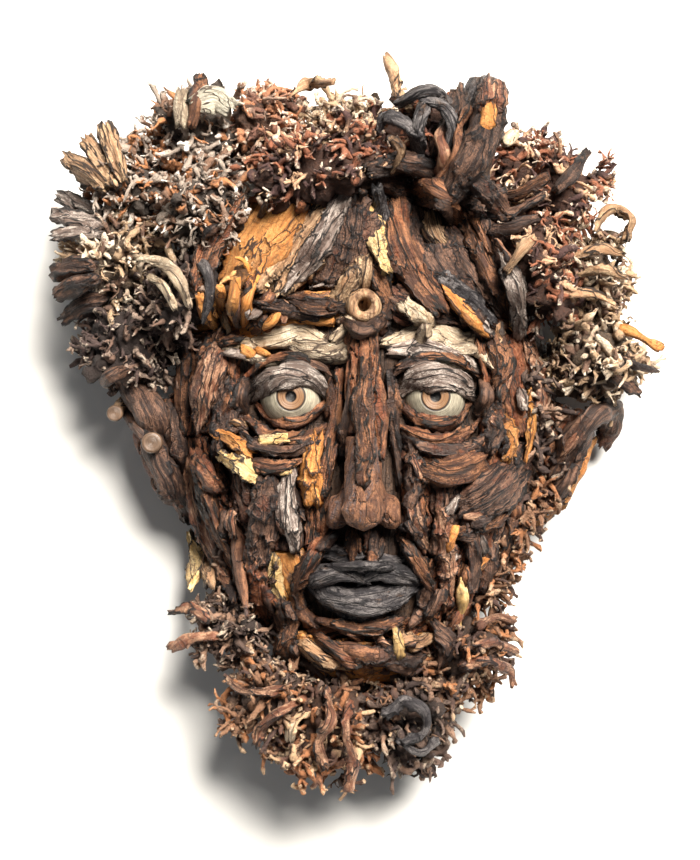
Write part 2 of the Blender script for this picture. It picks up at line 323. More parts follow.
# Larger roots, sticks and ribbons in the hair and the beard, as above
HAIR_SPLINTERS = [
    ("tan_bark", "worn", 9, 9, (0.9, 0.6), (38, 280, 8), (28, 298, 12), (25, 312, 16), (19, 326, 18)),
    ("dark_bark", "furrows", 14, 14, (0.6, 0.6), (6, 228, 0), (34, 234, 0), (62, 228, 0), (90, 216, -4)),
    ("dark_bark", "plates", 18, 18, (0.6, 0.6), (80, 226, 16), (100, 212, 16), (116, 196, 10)),
    ("dark_bark", "furrows", 18, 18, (0.6, 0.6), (62, 248, 8), (76, 270, 10), (78, 292, 8)),
    ("black_wood", "driftwood", 13, 13, (0.8, 0.8), (42, 206, 16), (48, 232, 20), (44, 258, 22),
     (54, 288, 16)),
    ("black_wood", "driftwood", 10, 10, (0.9, 0.5), (46, 258, 24), (32, 268, 22), (18, 272, 16),
     (12, 262, 12)),
    ("black_wood", "driftwood", 10, 10, (0.9, 0.5), (50, 286, 18), (66, 280, 22), (74, 262, 22),
     (68, 240, 16)),
    ("black_wood", "driftwood", 9, 9, (0.9, 0.5), (30, 284, 14), (46, 292, 20), (62, 292, 18),
     (76, 280, 12)),
    ("dark_bark", "worn", 29, 26, (0.5, 0.85), (72, 208, 6), (88, 232, 11), (99, 258, 12), (105, 291, 9)),
    ("orange_wood", "worn", 11, 9, (0.3, 0.4), (98, 252, 21), (102, 268, 23), (105, 286, 19)),
    ("red_bark", "plates", 20, 16, (0.6, 0.8), (102, 270, 16), (105, 284, 17), (106, 293, 14)),
    ("red_bark", "worn", 7, 7, (0.8, 0.7), (56, 216, 14), (66, 236, 20), (62, 256, 20), (72, 272, 14)),
    ("brown_bark", "worn", 7, 7, (0.8, 0.7), (64, 222, 14), (76, 240, 18), (78, 258, 18), (86, 276, 12)),
    ("tan_bark", "worn", 6, 6, (0.8, 0.7), (24, 226, 12), (30, 242, 18), (22, 254, 18)),
    ("dark_bark", "worn", 9, 9, (0.9, 0.7), (162, 214, 12), (176, 228, 14), (188, 244, 14)),
    ("tan_bark", "worn", 8, 7, (0.6, 0.7), (196, 180, 14), (204, 196, 16), (216, 200, 14),
     (226, 190, 10), (222, 176, 10)),
    ("orange_wood", "worn", 10, 9, (0.7, 0.8), (216, 98, 2), (234, 92, 2), (250, 84, 0)),
    ("dark_bark", "worn", 8, 8, (0.7, 0.4), (214, 74, 10), (230, 66, 12), (248, 62, 8)),
    ("dark_bark", "worn", 7, 7, (0.7, 0.4), (210, 58, 10), (224, 50, 10), (234, 40, 6)),
    ("tan_bark", "furrows", 13, 11, (0.5, 0.8), (-200, 222, 10), (-208, 244, 14), (-216, 266, 14)),
    ("tan_bark", "furrows", 11, 10, (0.5, 0.8), (-208, 218, 10), (-220, 238, 14), (-232, 256, 12)),
    ("tan_bark", "furrows", 14, 12, (0.5, 0.8), (-216, 216, 10), (-232, 230, 14), (-248, 242, 12)),
    ("grey_bark", "furrows", 12, 11, (0.5, 0.8), (-222, 196, 12), (-240, 204, 14), (-258, 212, 10)),
    ("grey_bark", "furrows", 13, 11, (0.5, 0.8), (-220, 186, 12), (-240, 190, 14), (-260, 194, 10)),
    ("grey_bark", "furrows", 11, 10, (0.5, 0.8), (-222, 176, 12), (-240, 178, 14), (-258, 176, 10)),
    ("dark_bark", "furrows", 12, 11, (0.5, 0.8), (-224, 150, 12), (-242, 150, 14), (-258, 146, 10)),
    ("dark_bark", "furrows", 12, 11, (0.5, 0.8), (-222, 138, 12), (-240, 134, 14), (-256, 126, 10)),
    ("dark_bark", "furrows", 11, 10, (0.5, 0.8), (-218, 126, 12), (-236, 118, 14), (-252, 108, 10)),
    ("driftwood", "driftwood", 11, 7, (0.4, 0.5), (-188, 156, 16), (-168, 152, 20), (-152, 138, 18),
     (-144, 116, 14)),
    ("driftwood", "driftwood", 8, 6, (0.4, 0.4), (-182, 142, 16), (-165, 132, 19), (-156, 114, 14)),
    ("black_wood", "smooth", 9, 8, (0.6, 0.4), (-142, 156, 14), (-130, 146, 18), (-127, 122, 16),
     (-132, 104, 12)),
    ("driftwood", "smooth", 13, 12, (0.7, 0.9), (-152, 268, 14), (-151, 282, 18), (-150, 292, 18)),
    ("brown_bark", "worn", 12, 10, (0.6, 0.4), (-142, 268, 14), (-138, 288, 18), (-136, 306, 14)),
    ("eye_wood", "smooth", 24, 12, (0.8, 0.35), (-112, 282, 20), (-122, 288, 22), (-138, 284, 20)),
    ("tan_bark", "driftwood", 8, 7, (0.5, 0.5), (176, 158, 9), (196, 164, 8), (218, 160, 5)),
    ("tan_bark", "driftwood", 8, 6, (0.5, 0.5), (180, 142, 8), (198, 146, 5), (218, 140, 4)),
    ("tan_bark", "driftwood", 7, 6, (0.5, 0.5), (172, 124, 9), (190, 127, 8), (210, 118, 5)),
    ("dark_bark", "furrows", 7, 7, (0.7, 0.8), (106, 178, 12), (124, 182, 16), (144, 188, 14)),
    ("dark_bark", "furrows", 7, 7, (0.7, 0.8), (108, 192, 12), (128, 196, 16), (148, 206, 14)),
    ("brown_bark", "furrows", 7, 7, (0.7, 0.8), (116, 208, 12), (134, 212, 16), (152, 222, 14)),
    ("tan_bark", "worn", 10, 9, (0.6, 0.8), (118, 146, 14), (128, 158, 18), (140, 170, 18)),
    ("driftwood", "smooth", 9, 9, (0.8, 0.9), (118, 252, 18), (126, 260, 22)),
    ("tan_bark", "furrows", 8, 7, (0.4, 0.4), (-60, 292, 12), (-44, 304, 16), (-26, 300, 14)),
    ("red_bark", "worn", 7, 7, (0.8, 0.9), (-62, -200, 14), (-84, -204, 20), (-104, -203, 20),
     (-113, -196, 16)),
    ("red_bark", "worn", 7, 7, (0.8, 0.9), (-50, -214, 14), (-70, -222, 20), (-86, -238, 14),
     (-90, -250, 8)),
    ("red_bark", "worn", 8, 7, (0.8, 0.9), (-30, -206, 14), (-26, -226, 22), (-36, -246, 20),
     (-32, -268, 14)),
    ("red_bark", "worn", 7, 7, (0.8, 0.9), (-12, -214, 16), (-14, -240, 22), (-8, -262, 16),
     (-12, -286, 10)),
    ("driftwood", "smooth", 9, 9, (0.8, 0.9), (-60, -234, 20), (-61, -246, 22)),
    ("black_wood", "worn", 7, 7, (0.8, 0.8), (20, -224, 18), (34, -212, 24), (50, -220, 24),
     (50, -238, 20), (34, -246, 18)),
    ("black_wood", "worn", 7, 7, (0.8, 0.8), (30, -246, 16), (46, -256, 18), (62, -248, 14)),
    ("red_bark", "worn", 8, 8, (0.8, 0.9), (84, -184, 14), (102, -180, 20), (122, -188, 14),
     (126, -200, 8)),
    ("red_bark", "worn", 7, 7, (0.8, 0.9), (86, -170, 14), (106, -164, 20), (128, -172, 14)),
    ("red_bark", "worn", 7, 7, (0.8, 0.9), (98, -152, 14), (112, -144, 16), (126, -148, 12)),
    ("red_bark", "worn", 6, 6, (0.8, 0.9), (-128, -146, 14), (-144, -136, 16), (-160, -140, 10)),
    ("red_bark", "worn", 6, 6, (0.8, 0.9), (-124, -160, 14), (-144, -162, 16), (-160, -172, 10)),
]

# How the roots of each burl grow, where they aren't fine and loosely curled: how curled, how dense,
# how thick against the usual root, the share of them in straight bundles, how thick their ends are,
# how many fill each gap to a neighbour, how far out they start, how many are long, and their wood
BURL_LOOKS = {
    "hair_left_low": {"curl": 0.7, "thickness": 0.95},
    "hair_left_middle": {"curl": 0.45, "bundled": 0.3},
    "hair_left_high": {"curl": 0.5, "bundled": 0.25},
    "hair_crown_left": {"curl": 0.7, "thickness": 1.0},
    "hair_crown_middle_left": {"curl": 0.8, "thickness": 1.15, "density": 0.9},
    "hair_crown_middle": {"curl": 0.8, "density": 1.1, "thickness": 1.05},
    "hair_crown_right": {"curl": 0.7, "thickness": 1.1, "density": 1.5, "bridges": 40, "wood": "red_hair"},
    "hair_fringe_left": {"curl": 0.85, "thickness": 0.9, "density": 1.1},
    "hair_fringe_middle": {"curl": 0.75, "density": 1.35, "wood": "red_hair"},
    "hair_right_high": {"curl": 0.35, "tips": 1.3, "wood": "red_hair", "long": 36},
    "hair_right_middle": {"curl": 0.9, "thickness": 0.9, "density": 1.15},
    "hair_right_low": {"curl": 0.8, "thickness": 1.0},
    "hair_temple_right": {"curl": 0.8, "thickness": 0.9, "density": 1.1, "wood": "red_hair"},
    "root_temple_orange": {"curl": 0.3, "thickness": 1.4, "density": 0.05, "bridges": 0,
                           "spread": 0.3, "long": 0},
    "beard_left_high": {"curl": 0.7, "thickness": 0.9, "tips": 1.1, "wood": "beard_grey"},
    "beard_left_low": {"curl": 0.55, "density": 0.75, "tips": 1.1, "wood": "beard_tan", "long": 50},
    "beard_chin": {"curl": 0.45, "thickness": 1.1, "density": 0.6, "tips": 1.1,
                   "wood": "beard_red", "long": 56},
    "beard_right_low": {"curl": 0.6, "thickness": 1.1, "density": 0.6, "wood": "beard_grey", "long": 50},
    "beard_right_high": {"curl": 0.55, "density": 0.75, "tips": 1.1, "wood": "beard_tan", "long": 50},
}

# How far a burl is moved off its solid, across and up in millimetres, and its size against the
# solid's, where they aren't the same
BURL_FORMS = {
    "hair_left_high": (2, -4, 0.92),
    "hair_crown_left": (3, -5, 0.92),
    "hair_crown_middle_left": (-4, -8, 0.9),
    "hair_crown_middle": (0, -16, 0.85),
    "hair_crown_right": (0, -10, 0.9),
    "hair_fringe_middle": (0, -4, 0.95),
    "hair_right_high": (0, -12, 0.85),
    "hair_right_middle": (-14, -14, 0.9),
    "hair_right_low": (-4, -2, 0.95),
    "beard_left_high": (14, -10, 0.82),
    "beard_left_low": (6, -6, 0.9),
    "beard_right_low": (0, 4, 0.9),
    "beard_right_high": (-6, 4, 0.9),
}

# Size of the wood under the roots against the burl's own size
CORE_SHARE = 0.93

# Roots and knots that finish the ears, and wood that fills the gaps behind the crown, as above
EAR_SPLINTERS = [
    ("dark_bark", "plates", 24, 20, (0.8, 0.8), (12, 222, -24), (34, 218, -24), (58, 214, -24)),
    ("dark_bark", "plates", 26, 20, (0.8, 0.8), (70, 216, -24), (88, 206, -24), (102, 196, -24)),
    ("dark_bark", "smooth", 27, 24, (0.6, 0.7), (-204, 66, -8), (-194, 50, 2), (-182, 28, 4),
     (-176, 10, 0)),
    ("dark_bark", "worn", 22, 20, (0.7, 0.3), (-180, 12, 2), (-174, -12, 4), (-163, -34, 0),
     (-152, -62, -6)),
    ("dark_bark", "smooth", 12, 12, (0.8, 0.8), (-206, 36, -8), (-192, 16, 0), (-180, 2, 4)),
    ("dark_bark", "worn", 16, 16, (0.6, 0.3), (-168, 34, 4), (-160, 8, 6), (-155, -22, 0)),
    ("tan_bark", "smooth", 11, 11, (0.8, 0.8), (-196, 44, 0), (-206, 34, 22), (-210, 28, 32)),
    ("dark_bark", "smooth", 11, 11, (0.8, 0.8), (-200, 62, 0), (-210, 58, 22), (-216, 54, 30)),
    ("yellow_wood", "furrows", 10, 9, (0.4, 0.3), (-149, -78, 4), (-142, -100, 6), (-146, -122, 2)),
    ("dark_bark", "worn", 22, 22, (0.8, 0.7), (164, -24, -6), (177, 0, 4), (193, 22, 7), (208, 31, 4)),
    ("red_bark", "smooth", 10, 8, (0.3, 0.3), (170, -8, 12), (182, 10, 16), (196, 24, 14)),
    ("dark_bark", "worn", 18, 18, (0.6, 0.5), (203, 36, 0), (214, 28, 2), (216, 14, 0), (210, 2, -6)),
    ("orange_wood", "worn", 17, 11, (0.4, 0.5), (152, -68, -12), (170, -42, -6), (186, -14, -6),
     (198, 2, -8)),
    ("dark_bark", "furrows", 12, 10, (0.4, 0.4), (160, -54, -4), (172, -32, 0), (184, -10, -2)),
]

# Woods and reliefs that the short chips over the slabs are drawn from
CHIP_WOODS = [
    ("brown_bark", "plates"),
    ("brown_bark", "furrows"),
    ("dark_bark", "plates"),
    ("dark_bark", "furrows"),
] * 3 + [
    ("tan_bark", "furrows"),
    ("orange_wood", "worn"),
    ("grey_bark", "furrows"),
    ("red_bark", "furrows"),
    ("red_bark", "furrows"),
    ("yellow_wood", "worn"),
]

# Boxes that the chips keep off, by least and most X and Y: an eye, the nose and the mouth, on either
# side, and then how far out chips lie, in millimetres
CHIP_FREE = ((24, 96, 11, 71), (-1, 38, -76, 112), (-1, 58, -152, -98))
CHIP_EDGE = 142

# Profiles of the turned eye, of the knot and of a cut knot, as radius and height in millimetres.
# A cut knot's radius is a share of its own, and its height counts from its top.
EYE_BALL = 26.5
EYE_MIDDLE = 99
EYE_RISE = 31.5
EYE_PROFILE = (
    [(radius, 124.0) for radius in np.linspace(0.6, 4.0, 4)]
    + [(4.4, 127.4)]
    + [(radius, 127.2 + 0.05 * radius) for radius in np.linspace(5.0, 11.0, 9)]
    + [(11.5, 125.6)]
    + [
        (radius, EYE_MIDDLE + EYE_RISE * math.sqrt(1 - (radius / EYE_BALL) ** 2))
        for radius in np.linspace(12.2, 26.3, 22)
    ]
    + [(26.3, 96.0)]
)
KNOT_PROFILE = [
    (1.0, 112.0), (4.6, 113.0), (5.2, 124.0), (5.8, 130.0), (7.4, 132.8), (9.6, 133.6),
    (11.8, 132.6), (13.6, 129.6), (14.6, 124.0), (15.0, 116.0), (15.2, 106.0), (15.2, 100.0),
]
CUT_KNOT_PROFILE = [
    (0.1, -0.5), (0.3, 0.3), (0.5, -0.2), (0.7, 0.3), (0.85, 0.0), (0.95, -0.8), (1.0, -2.5), (1.0, -8),
]

# Lines along the jaw, the temple and the ear that short roots stand on, then the cut knots by their
# place, their top and their radius, all in millimetres
JAW_LINES = [
    (
        "jaw_roots_right",
        "beard_tan",
        [(154, -24, 62), (145, -58, 62), (138, -90, 60), (128, -118, 60), (112, -142, 64)],
    ),
    ("jaw_roots_inner", "beard_tan", [(140, -60, 74), (130, -96, 74), (118, -126, 74), (100, -150, 74)]),
    ("temple_roots_right", "beard_grey", [(150, 60, 92), (154, 40, 88), (156, 12, 82), (156, -12, 74)]),
    ("ear_roots_left", "dark_root", [(-196, 78, 60), (-180, 70, 66), (-166, 60, 72), (-158, 44, 74)]),
    ("jaw_roots_left", "beard_grey", [(-138, -110, 60), (-130, -124, 60), (-122, -136, 60)]),
]
CUT_KNOTS = [(-178, 2, 92, 9), (-211, 27, 72, 7), (-217, 54, 72, 6), (207, 52, 92, 7)]

# Limits of the face that no hair grows on: the oval of its upper part, then its lower part
FACE_WIDEST = 0.09
FACE_OVAL = (0.145, 0.130)
FACE_SIDE = 0.138
FACE_NARROWING = 0.3
FACE_FOOT = -0.155

# Lengths of wood: the step along and round them, the fewest and most sides, the share of the length
# that narrows to an end, how square they are, and the width from which ends get no more ragged
SPLINTER_STEP = 0.0021
SPLINTER_SIDES = (10, 26)
TAPER = 0.4
SQUARENESS = 0.8
RAGGED_WIDTH = 0.022

# Roots: the lowest that they grow, how much of a burl's height of 2 they cover from its top, the turn
# from one to the next, how many a straight bundle has, and what a stick keeps clear of its width
LOWEST_ROOT = 0.006
ROOTED_HEIGHT = 1.55
GOLDEN_TURN = 2.39996
BUNDLE = 9
STICK_SHARE = 0.4

# Facet of the carved ground, then the step between the roots of the jaw and how far they scatter
GROUND_FACET = 0.0065
JAW_STEP = 0.0012
JAW_SCATTER = 0.006

# Width and height of the picture, what the camera is over, how high the hair stands, where the lights
# are, and how wide the fill light and half the floor are
PICTURE_SIZE = (700, 860)
CAMERA_PLACE = (-0.011, 0.0128)
HAIR_HEIGHT = 0.07
KEY_PLACE = (0.80, 1.45, 2.1)
FILL_PLACE = (-1.4, -0.5, 1.8)
FILL_SIZE = 1.6
FLOOR_REACH = 40.0


# Settings that a user may change


class WoodSizes(bpy.types.PropertyGroup):
    """Sizes of the wood's surface and of the roots."""

    slab_facet: bpy.props.FloatProperty(
        name="Slab facet",
        description="Side of the smallest facet on a bark slab",
        default=0.0014, min=0.0005, unit="LENGTH",
    )
    feature_facet: bpy.props.FloatProperty(
        name="Feature facet",
        description="Side of the smallest facet on a brow, lid, nose or lip",
        default=0.0012, min=0.0005, unit="LENGTH",
    )
    burl_facet: bpy.props.FloatProperty(
        name="Burl facet",
        description="Side of the smallest facet on a burl under its roots",
        default=0.0052, min=0.001, unit="LENGTH",
    )
    slab_shift: bpy.props.FloatProperty(
        name="Slab shift",
        description="How far the seams between slabs wander from straight lines",
        default=0.0085, min=0.0, unit="LENGTH",
    )
    root_radius: bpy.props.FloatProperty(
        name="Root radius",
        description="Radius of a root where it leaves its burl",
        default=0.0021, min=0.0005, unit="LENGTH",
    )
    root_step: bpy.props.FloatProperty(
        name="Root step",
        description="Length of one straight stretch of a root",
        default=0.0038, min=0.001, unit="LENGTH",
    )
    roots: bpy.props.IntProperty(
        name="Roots",
        description="Roots on one burl of the hair, before they fork",
        default=178,
        min=1,
    )
    chips: bpy.props.IntProperty(
        name="Chips",
        description="Short chips of bark over the slabs",
        default=150,
        min=1,
    )


class StageSettings(bpy.types.PropertyGroup):
    """The camera, the lights and the floor."""

    view_width: bpy.props.FloatProperty(
        name="View width",
        description="Width of what the camera sees at the height of the hair",
        default=0.595,
        unit="LENGTH",
    )
    camera_height: bpy.props.FloatProperty(
        name="Camera height",
        description="Height of the camera over the floor",
        default=2.4,
        unit="LENGTH",
    )
    key_light: bpy.props.FloatProperty(
        name="Key light",
        description="Strength of the soft light from the upper right, in watts on a square metre",
        default=13.5,
    )
    key_spread: bpy.props.FloatProperty(
        name="Key spread",
        description="How wide the light from the upper right looks from the face, which softens its shadows",
        default=0.5,
        subtype="ANGLE",
    )
    fill_power: bpy.props.FloatProperty(
        name="Fill light",
        description="Power of the wide light from the lower left",
        default=3.0,
        unit="POWER",
    )
    world_light: bpy.props.FloatProperty(
        name="World light",
        description="Strength of the light from overhead",
        default=0.13,
    )
    horizon_light: bpy.props.FloatProperty(
        name="Horizon light",
        description="Strength of the light from low down all round",
        default=0.32,
    )
    floor_colour: bpy.props.FloatVectorProperty(
        name="Floor",
        description="Colour of the floor",
        subtype="COLOR",
        default=(0.66, 0.66, 0.65),
        min=0.0,
        max=1.0,
    )


# Node trees


class Socket:
    """An output in a node tree. Arithmetic on it adds Math nodes."""

    def __init__(self, maker, output):
        self.maker = maker
        self.output = output

    def beside(self, name):
        """Another output of the same node."""
        return Socket(self.maker, self.output.node.outputs[name])

    def math(self, operation, first, second):
        return self.maker.add("ShaderNodeMath", {0: first, 1: second}, operation=operation)

    def __add__(self, other):
        return self.math("ADD", self, other)

    def __sub__(self, other):
        return self.math("SUBTRACT", self, other)

    def __mul__(self, other):
        return self.math("MULTIPLY", self, other)

    def __truediv__(self, other):
        return self.math("DIVIDE", self, other)

    def __rsub__(self, other):
        return self.math("SUBTRACT", other, self)

    def __rtruediv__(self, other):
        return self.math("DIVIDE", other, self)

    __radd__ = __add__
    __rmul__ = __mul__


class Maker:
    """Adds nodes to a tree, of a material or of geometry."""

    def __init__(self, tree):
        self.tree = tree

    def add(self, kind, values=None, output=None, **settings):
        """Adds a node with its settings first, then what its sockets take."""
        node = self.tree.nodes.new(kind)
        for name, setting in settings.items():
            setattr(node, name, setting)
        for key, value in (values or {}).items():
            if isinstance(key, int):
                target = node.inputs[key]
            else:
                target = next(socket for socket in node.inputs if socket.name == key and socket.enabled)
            if isinstance(value, Socket):
                self.tree.links.new(value.output, target)
            elif target.type == "RGBA" and len(value) == 3:
                target.default_value = (*value, 1)
            else:
                target.default_value = value
        shown = [socket for socket in node.outputs if socket.enabled]
        if not shown:
            return None
        return Socket(self, shown[0] if output is None else next(s for s in shown if s.name == output))

    def vector(self, operation, first, second):
        return self.add("ShaderNodeVectorMath", {0: first, 1: second}, operation=operation)

    def scaled(self, vector, share):
        return self.add("ShaderNodeVectorMath", {0: vector, "Scale": share}, operation="SCALE")

    def parts(self, vector, output=None):
        """The X of a vector or the part that is asked for, with the others beside it."""
        return self.add("ShaderNodeSeparateXYZ", {0: vector}, output)

    def attribute(self, name, output="Fac"):
        return self.add("ShaderNodeAttribute", attribute_name=name, output=output)

    def cells(self, place, scale=1.0):
        """A colour for each cell over a place."""
        return self.add("ShaderNodeTexVoronoi", {"Vector": place, "Scale": scale}, "Color", feature="F1")

    def cell_edge(self, place):
        """How far the edge of the cell is."""
        values = {"Vector": place, "Scale": 1.0}
        return self.add("ShaderNodeTexVoronoi", values, feature="DISTANCE_TO_EDGE")

    def bump(self, height, strength=1.0):
        values = {"Height": height, "Strength": strength, "Distance": 1.0}
        return self.add("ShaderNodeBump", values)

    def noise(self, place, scale, detail=2.0, roughness=0.5, output="Fac"):
        """Noise over a place, from 0 to 1. The scale is a number, or three for a stretched noise."""
        if not isinstance(scale, (int, float)):
            place, scale = self.vector("MULTIPLY", place, scale), 1.0
        values = {"Vector": place, "Scale": scale, "Detail": detail, "Roughness": roughness}
        return self.add("ShaderNodeTexNoise", values, output)

    def step(self, value, low, high):
        """A smooth step from 0 at low to 1 at high."""
        values = {"Value": value, "From Min": low, "From Max": high, "To Min": 0.0, "To Max": 1.0}
        return self.add("ShaderNodeMapRange", values, interpolation_type="SMOOTHSTEP")

    def blend(self, share, first, second):
        """A colour between two."""
        return self.add("ShaderNodeMix", {"Factor": share, "A": first, "B": second}, data_type="RGBA")


# Materials


def new_material(name):
    material = bpy.data.materials.new(name)
    material.use_nodes = True
    material.node_tree.nodes.clear()
    return material, Maker(material.node_tree)


def surface(maker, colour, roughness, normal=None, specular=0.4):
    """Closes a material with its shader."""
    values = {"Base Color": colour, "Roughness": roughness, "Specular IOR Level": specular}
    if normal:
        values["Normal"] = normal
    shader = maker.add("ShaderNodeBsdfPrincipled", values)
    maker.add("ShaderNodeOutputMaterial", {"Surface": shader})


def wood_pattern(maker, grain, sizes):
    """Worn wood over its grain, as shares from 0 to 1: how much of a fissure, which plate, and how
    high a furrow and a swell."""
    wave = (maker.noise(grain, (16, 40, 40), 2.0) - 0.5) * sizes["Furrow Wave"] * 4
    waved = maker.vector("ADD", grain, maker.add("ShaderNodeCombineXYZ", {"Y": wave, "Z": wave}))
    across = 1 / sizes["Plate Width"]
    cell = maker.add("ShaderNodeCombineXYZ", {"X": 1 / sizes["Plate Length"], "Y": across, "Z": across})
    cell = maker.vector("MULTIPLY", waved, cell)
    bend = maker.vector("SUBTRACT", maker.noise(cell, 1.7, 3.0, output="Color"), (0.5, 0.5, 0.5))
    cell = maker.vector("ADD", cell, bend)
    fine = 1 / sizes["Furrow Pitch"]
    lines = maker.add("ShaderNodeCombineXYZ", {"X": fine / 16, "Y": fine, "Z": fine})
    return {
        "fissure": 1 - maker.step(maker.cell_edge(cell), 0.0, sizes["Fissure Share"]),
        "plate": maker.parts(maker.cells(cell)),
        "furrow": maker.noise(maker.vector("MULTIPLY", waved, lines), 1.0, 3.0, 0.6),
        "swell": maker.noise(grain, 1 / sizes["Swell Size"], 2.0),
        "waved": waved,
    }


def wood_material(name, wood, relief):
    """Wood with streaks along its grain, stains, dark fissures and pale worn ridges."""
    body, pale, dark, stain, stained = WOODS[wood]
    material, maker = new_material(name)
    tone = maker.attribute("tone")
    grain = maker.attribute("grain", "Vector")
    pattern = wood_pattern(maker, grain, RELIEFS[relief])
    furrow, fissure = pattern["furrow"], pattern["fissure"]
    streak = maker.noise(pattern["waved"], (34, 700, 700), 5.0, 0.7)
    patch = maker.noise(grain, (26, 60, 60), 7.0, 0.72)
    speck = maker.noise(grain, (500, 900, 900), 3.0, 0.7)
    bend = maker.noise(grain, (130, 220, 220), 3.0, 0.7, "Color")
    cell = maker.vector("ADD", maker.vector("MULTIPLY", pattern["waved"], (85, 230, 230)), bend)
    flake = maker.parts(maker.cells(cell)) * 0.6 + maker.parts(maker.cells(cell, 2.3)) * 0.4
    check = maker.cell_edge(maker.vector("MULTIPLY", grain, (230, 120, 120)))
    check = (1 - maker.step(check, 0.0, 0.07)) * maker.step(patch, 0.40, 0.62)
    colour = maker.blend(maker.step(streak * 0.6 + furrow * 0.35 + flake * 0.3, 0.54, 0.92), body, pale)
    reddened = patch + (streak - 0.5) * 0.3 + (0.4 - tone) * 0.2
    stains = maker.step(reddened, 0.64 - 0.2 * stained, 0.72 - 0.16 * stained)
    colour = maker.blend(stains * 0.8, colour, stain)
    shade = maker.step(pattern["plate"] + tone + (streak - 0.5) * 0.8 + (flake - 0.5) * 0.7, 0.7, 1.8)
    colour = maker.blend(shade * 0.65, colour, dark)
    ridge = maker.step(furrow + flake * 0.35 + pattern["swell"] * 0.4, 0.78, 1.04)
    ridge = ridge * maker.step(speck, 0.4, 0.6)
    colour = maker.blend(ridge * 0.7, colour, pale)
    colour = maker.blend(maker.step(furrow, 0.47, 0.27) * 0.8, colour, dark)
    colour = maker.blend(maker.step(speck, 0.40, 0.28) * 0.6, colour, dark)
    colour = maker.blend(maker.step(fissure + (speck - 0.5) * 0.5, 0.5, 0.95), colour, dark)
    if relief in ("plates", "worn"):
        colour = maker.blend(check * 0.7, colour, dark)
    height = (
        (streak - 0.5) * 0.0014
        + (speck - 0.5) * 0.0012
        + furrow * 0.0008
        + flake * (0.0 if relief in ("driftwood", "smooth") else 0.0024)
        - fissure * 0.0009
        - check * 0.0006
    )
    surface(maker, colour, 0.36 + 0.40 * speck, maker.bump(height), 0.38)
    return material


def turned_material(name, white, iris=None):
    """Turned wood with fine rings, which has a brown iris and a dark pupil if it is an eye."""
    material, maker = new_material(name)
    place = maker.add("ShaderNodeTexCoord", output="Object")
    turn = maker.attribute("turn")
    wander = maker.noise(place, 60, 2.0) * 0.0016
    ring = maker.add("ShaderNodeCombineXYZ", {"X": (turn + wander) * RINGS_A_METRE})
    ring = maker.noise(ring, 1.0, 2.0, 0.6)
    streak = maker.noise(place, (900, 160, 160), 3.0, 0.7)
    patch = maker.noise(place, 90, 2.0)
    pale = maker.blend(maker.step(patch, 0.35, 0.7), white, [0.62 * part for part in white])
    deep = [0.18 * part for part in white]
    colour = pale = maker.blend(maker.step(ring * 0.7 + streak * 0.3, 0.56, 0.36) * 0.8, pale, deep)
    if iris:
        brown = maker.blend(maker.step(ring, 0.4, 0.62), iris, IRIS_STREAK)
        colour = maker.blend(maker.step(turn, IRIS_RADIUS, IRIS_RADIUS - 0.0004), pale, brown)
        rim = maker.step(turn, 0.0128, 0.0121) * maker.step(turn, 0.0105, 0.0112)
        colour = maker.blend(rim, colour, IRIS_RIM)
        colour = maker.blend(maker.step(turn, PUPIL_RADIUS, PUPIL_RADIUS - 0.0006), colour, PUPIL)
    bump = maker.bump((ring + streak * 0.4) * 0.0006, 0.9)
    surface(maker, colour, 0.30 + 0.25 * streak, bump, 0.5)
    return material


def root_material(name, wood):
    """Root wood, dark between the roots and pale at their tips, with its own tone on each root."""
    first, second, third, tip = ROOT_WOODS[wood]
    material, maker = new_material(name)
    place = maker.add("ShaderNodeTexCoord", output="Object")
    tone = maker.attribute("tone")
    reach = maker.attribute("reach")
    speck = maker.noise(place, 420, 4.0, 0.7)
    patch = maker.noise(place, 28, 2.0, 0.6)
    mixed = tone + (patch - 0.5) * 0.9
    colour = maker.blend(maker.step(mixed, 0.42, 0.58), first, second)
    colour = maker.blend(maker.step(mixed, 0.72, 0.84), colour, third)
    worn = reach * 0.6 + speck * 0.6 + (maker.noise(place, 60, 1.0) - 0.5) * 0.9
    colour = maker.blend(maker.step(worn, 0.80, 1.05), colour, tip)
    colour = maker.blend(maker.step(speck, 0.46, 0.32) * 0.8, colour, ROOT_DEEP)
    colour = maker.blend(maker.step(reach + (speck - 0.5) * 0.5, 0.30, 0.0) * 0.88, colour, ROOT_DEEP)
    surface(maker, colour, 0.62 + 0.3 * speck, maker.bump(speck * 0.0030))
    return material


def material_of(wood, relief=None):
    """The material of a wood in a relief, or of roots, made when it is first asked for."""
    name = f"{wood}_{relief or 'roots'}"
    if name not in bpy.data.materials:
        if relief:
            wood_material(name, wood, relief)
        else:
            root_material(name, wood)
    return bpy.data.materials[name]


# Geometry node trees


def new_geometry_tree(name, inputs):
    """A geometry node tree with named inputs, its maker and its input sockets by name."""
    tree = bpy.data.node_groups.new(name, "GeometryNodeTree")
    tree.interface.new_socket("Geometry", in_out="OUTPUT", socket_type="NodeSocketGeometry")
    tree.interface.new_socket("Geometry", in_out="INPUT", socket_type="NodeSocketGeometry")
    for label, default in inputs.items():
        kind = {"Ground": "NodeSocketObject", "Material": "NodeSocketMaterial"}.get(label)
        if kind is None:
            kind = "NodeSocketInt" if isinstance(default, int) else "NodeSocketFloat"
        socket = tree.interface.new_socket(label, in_out="INPUT", socket_type=kind)
        if default is not None:
            socket.default_value = default
    maker = Maker(tree)
    first = maker.add("NodeGroupInput")
    return tree, maker, {socket.name: Socket(maker, socket) for socket in first.output.node.outputs}


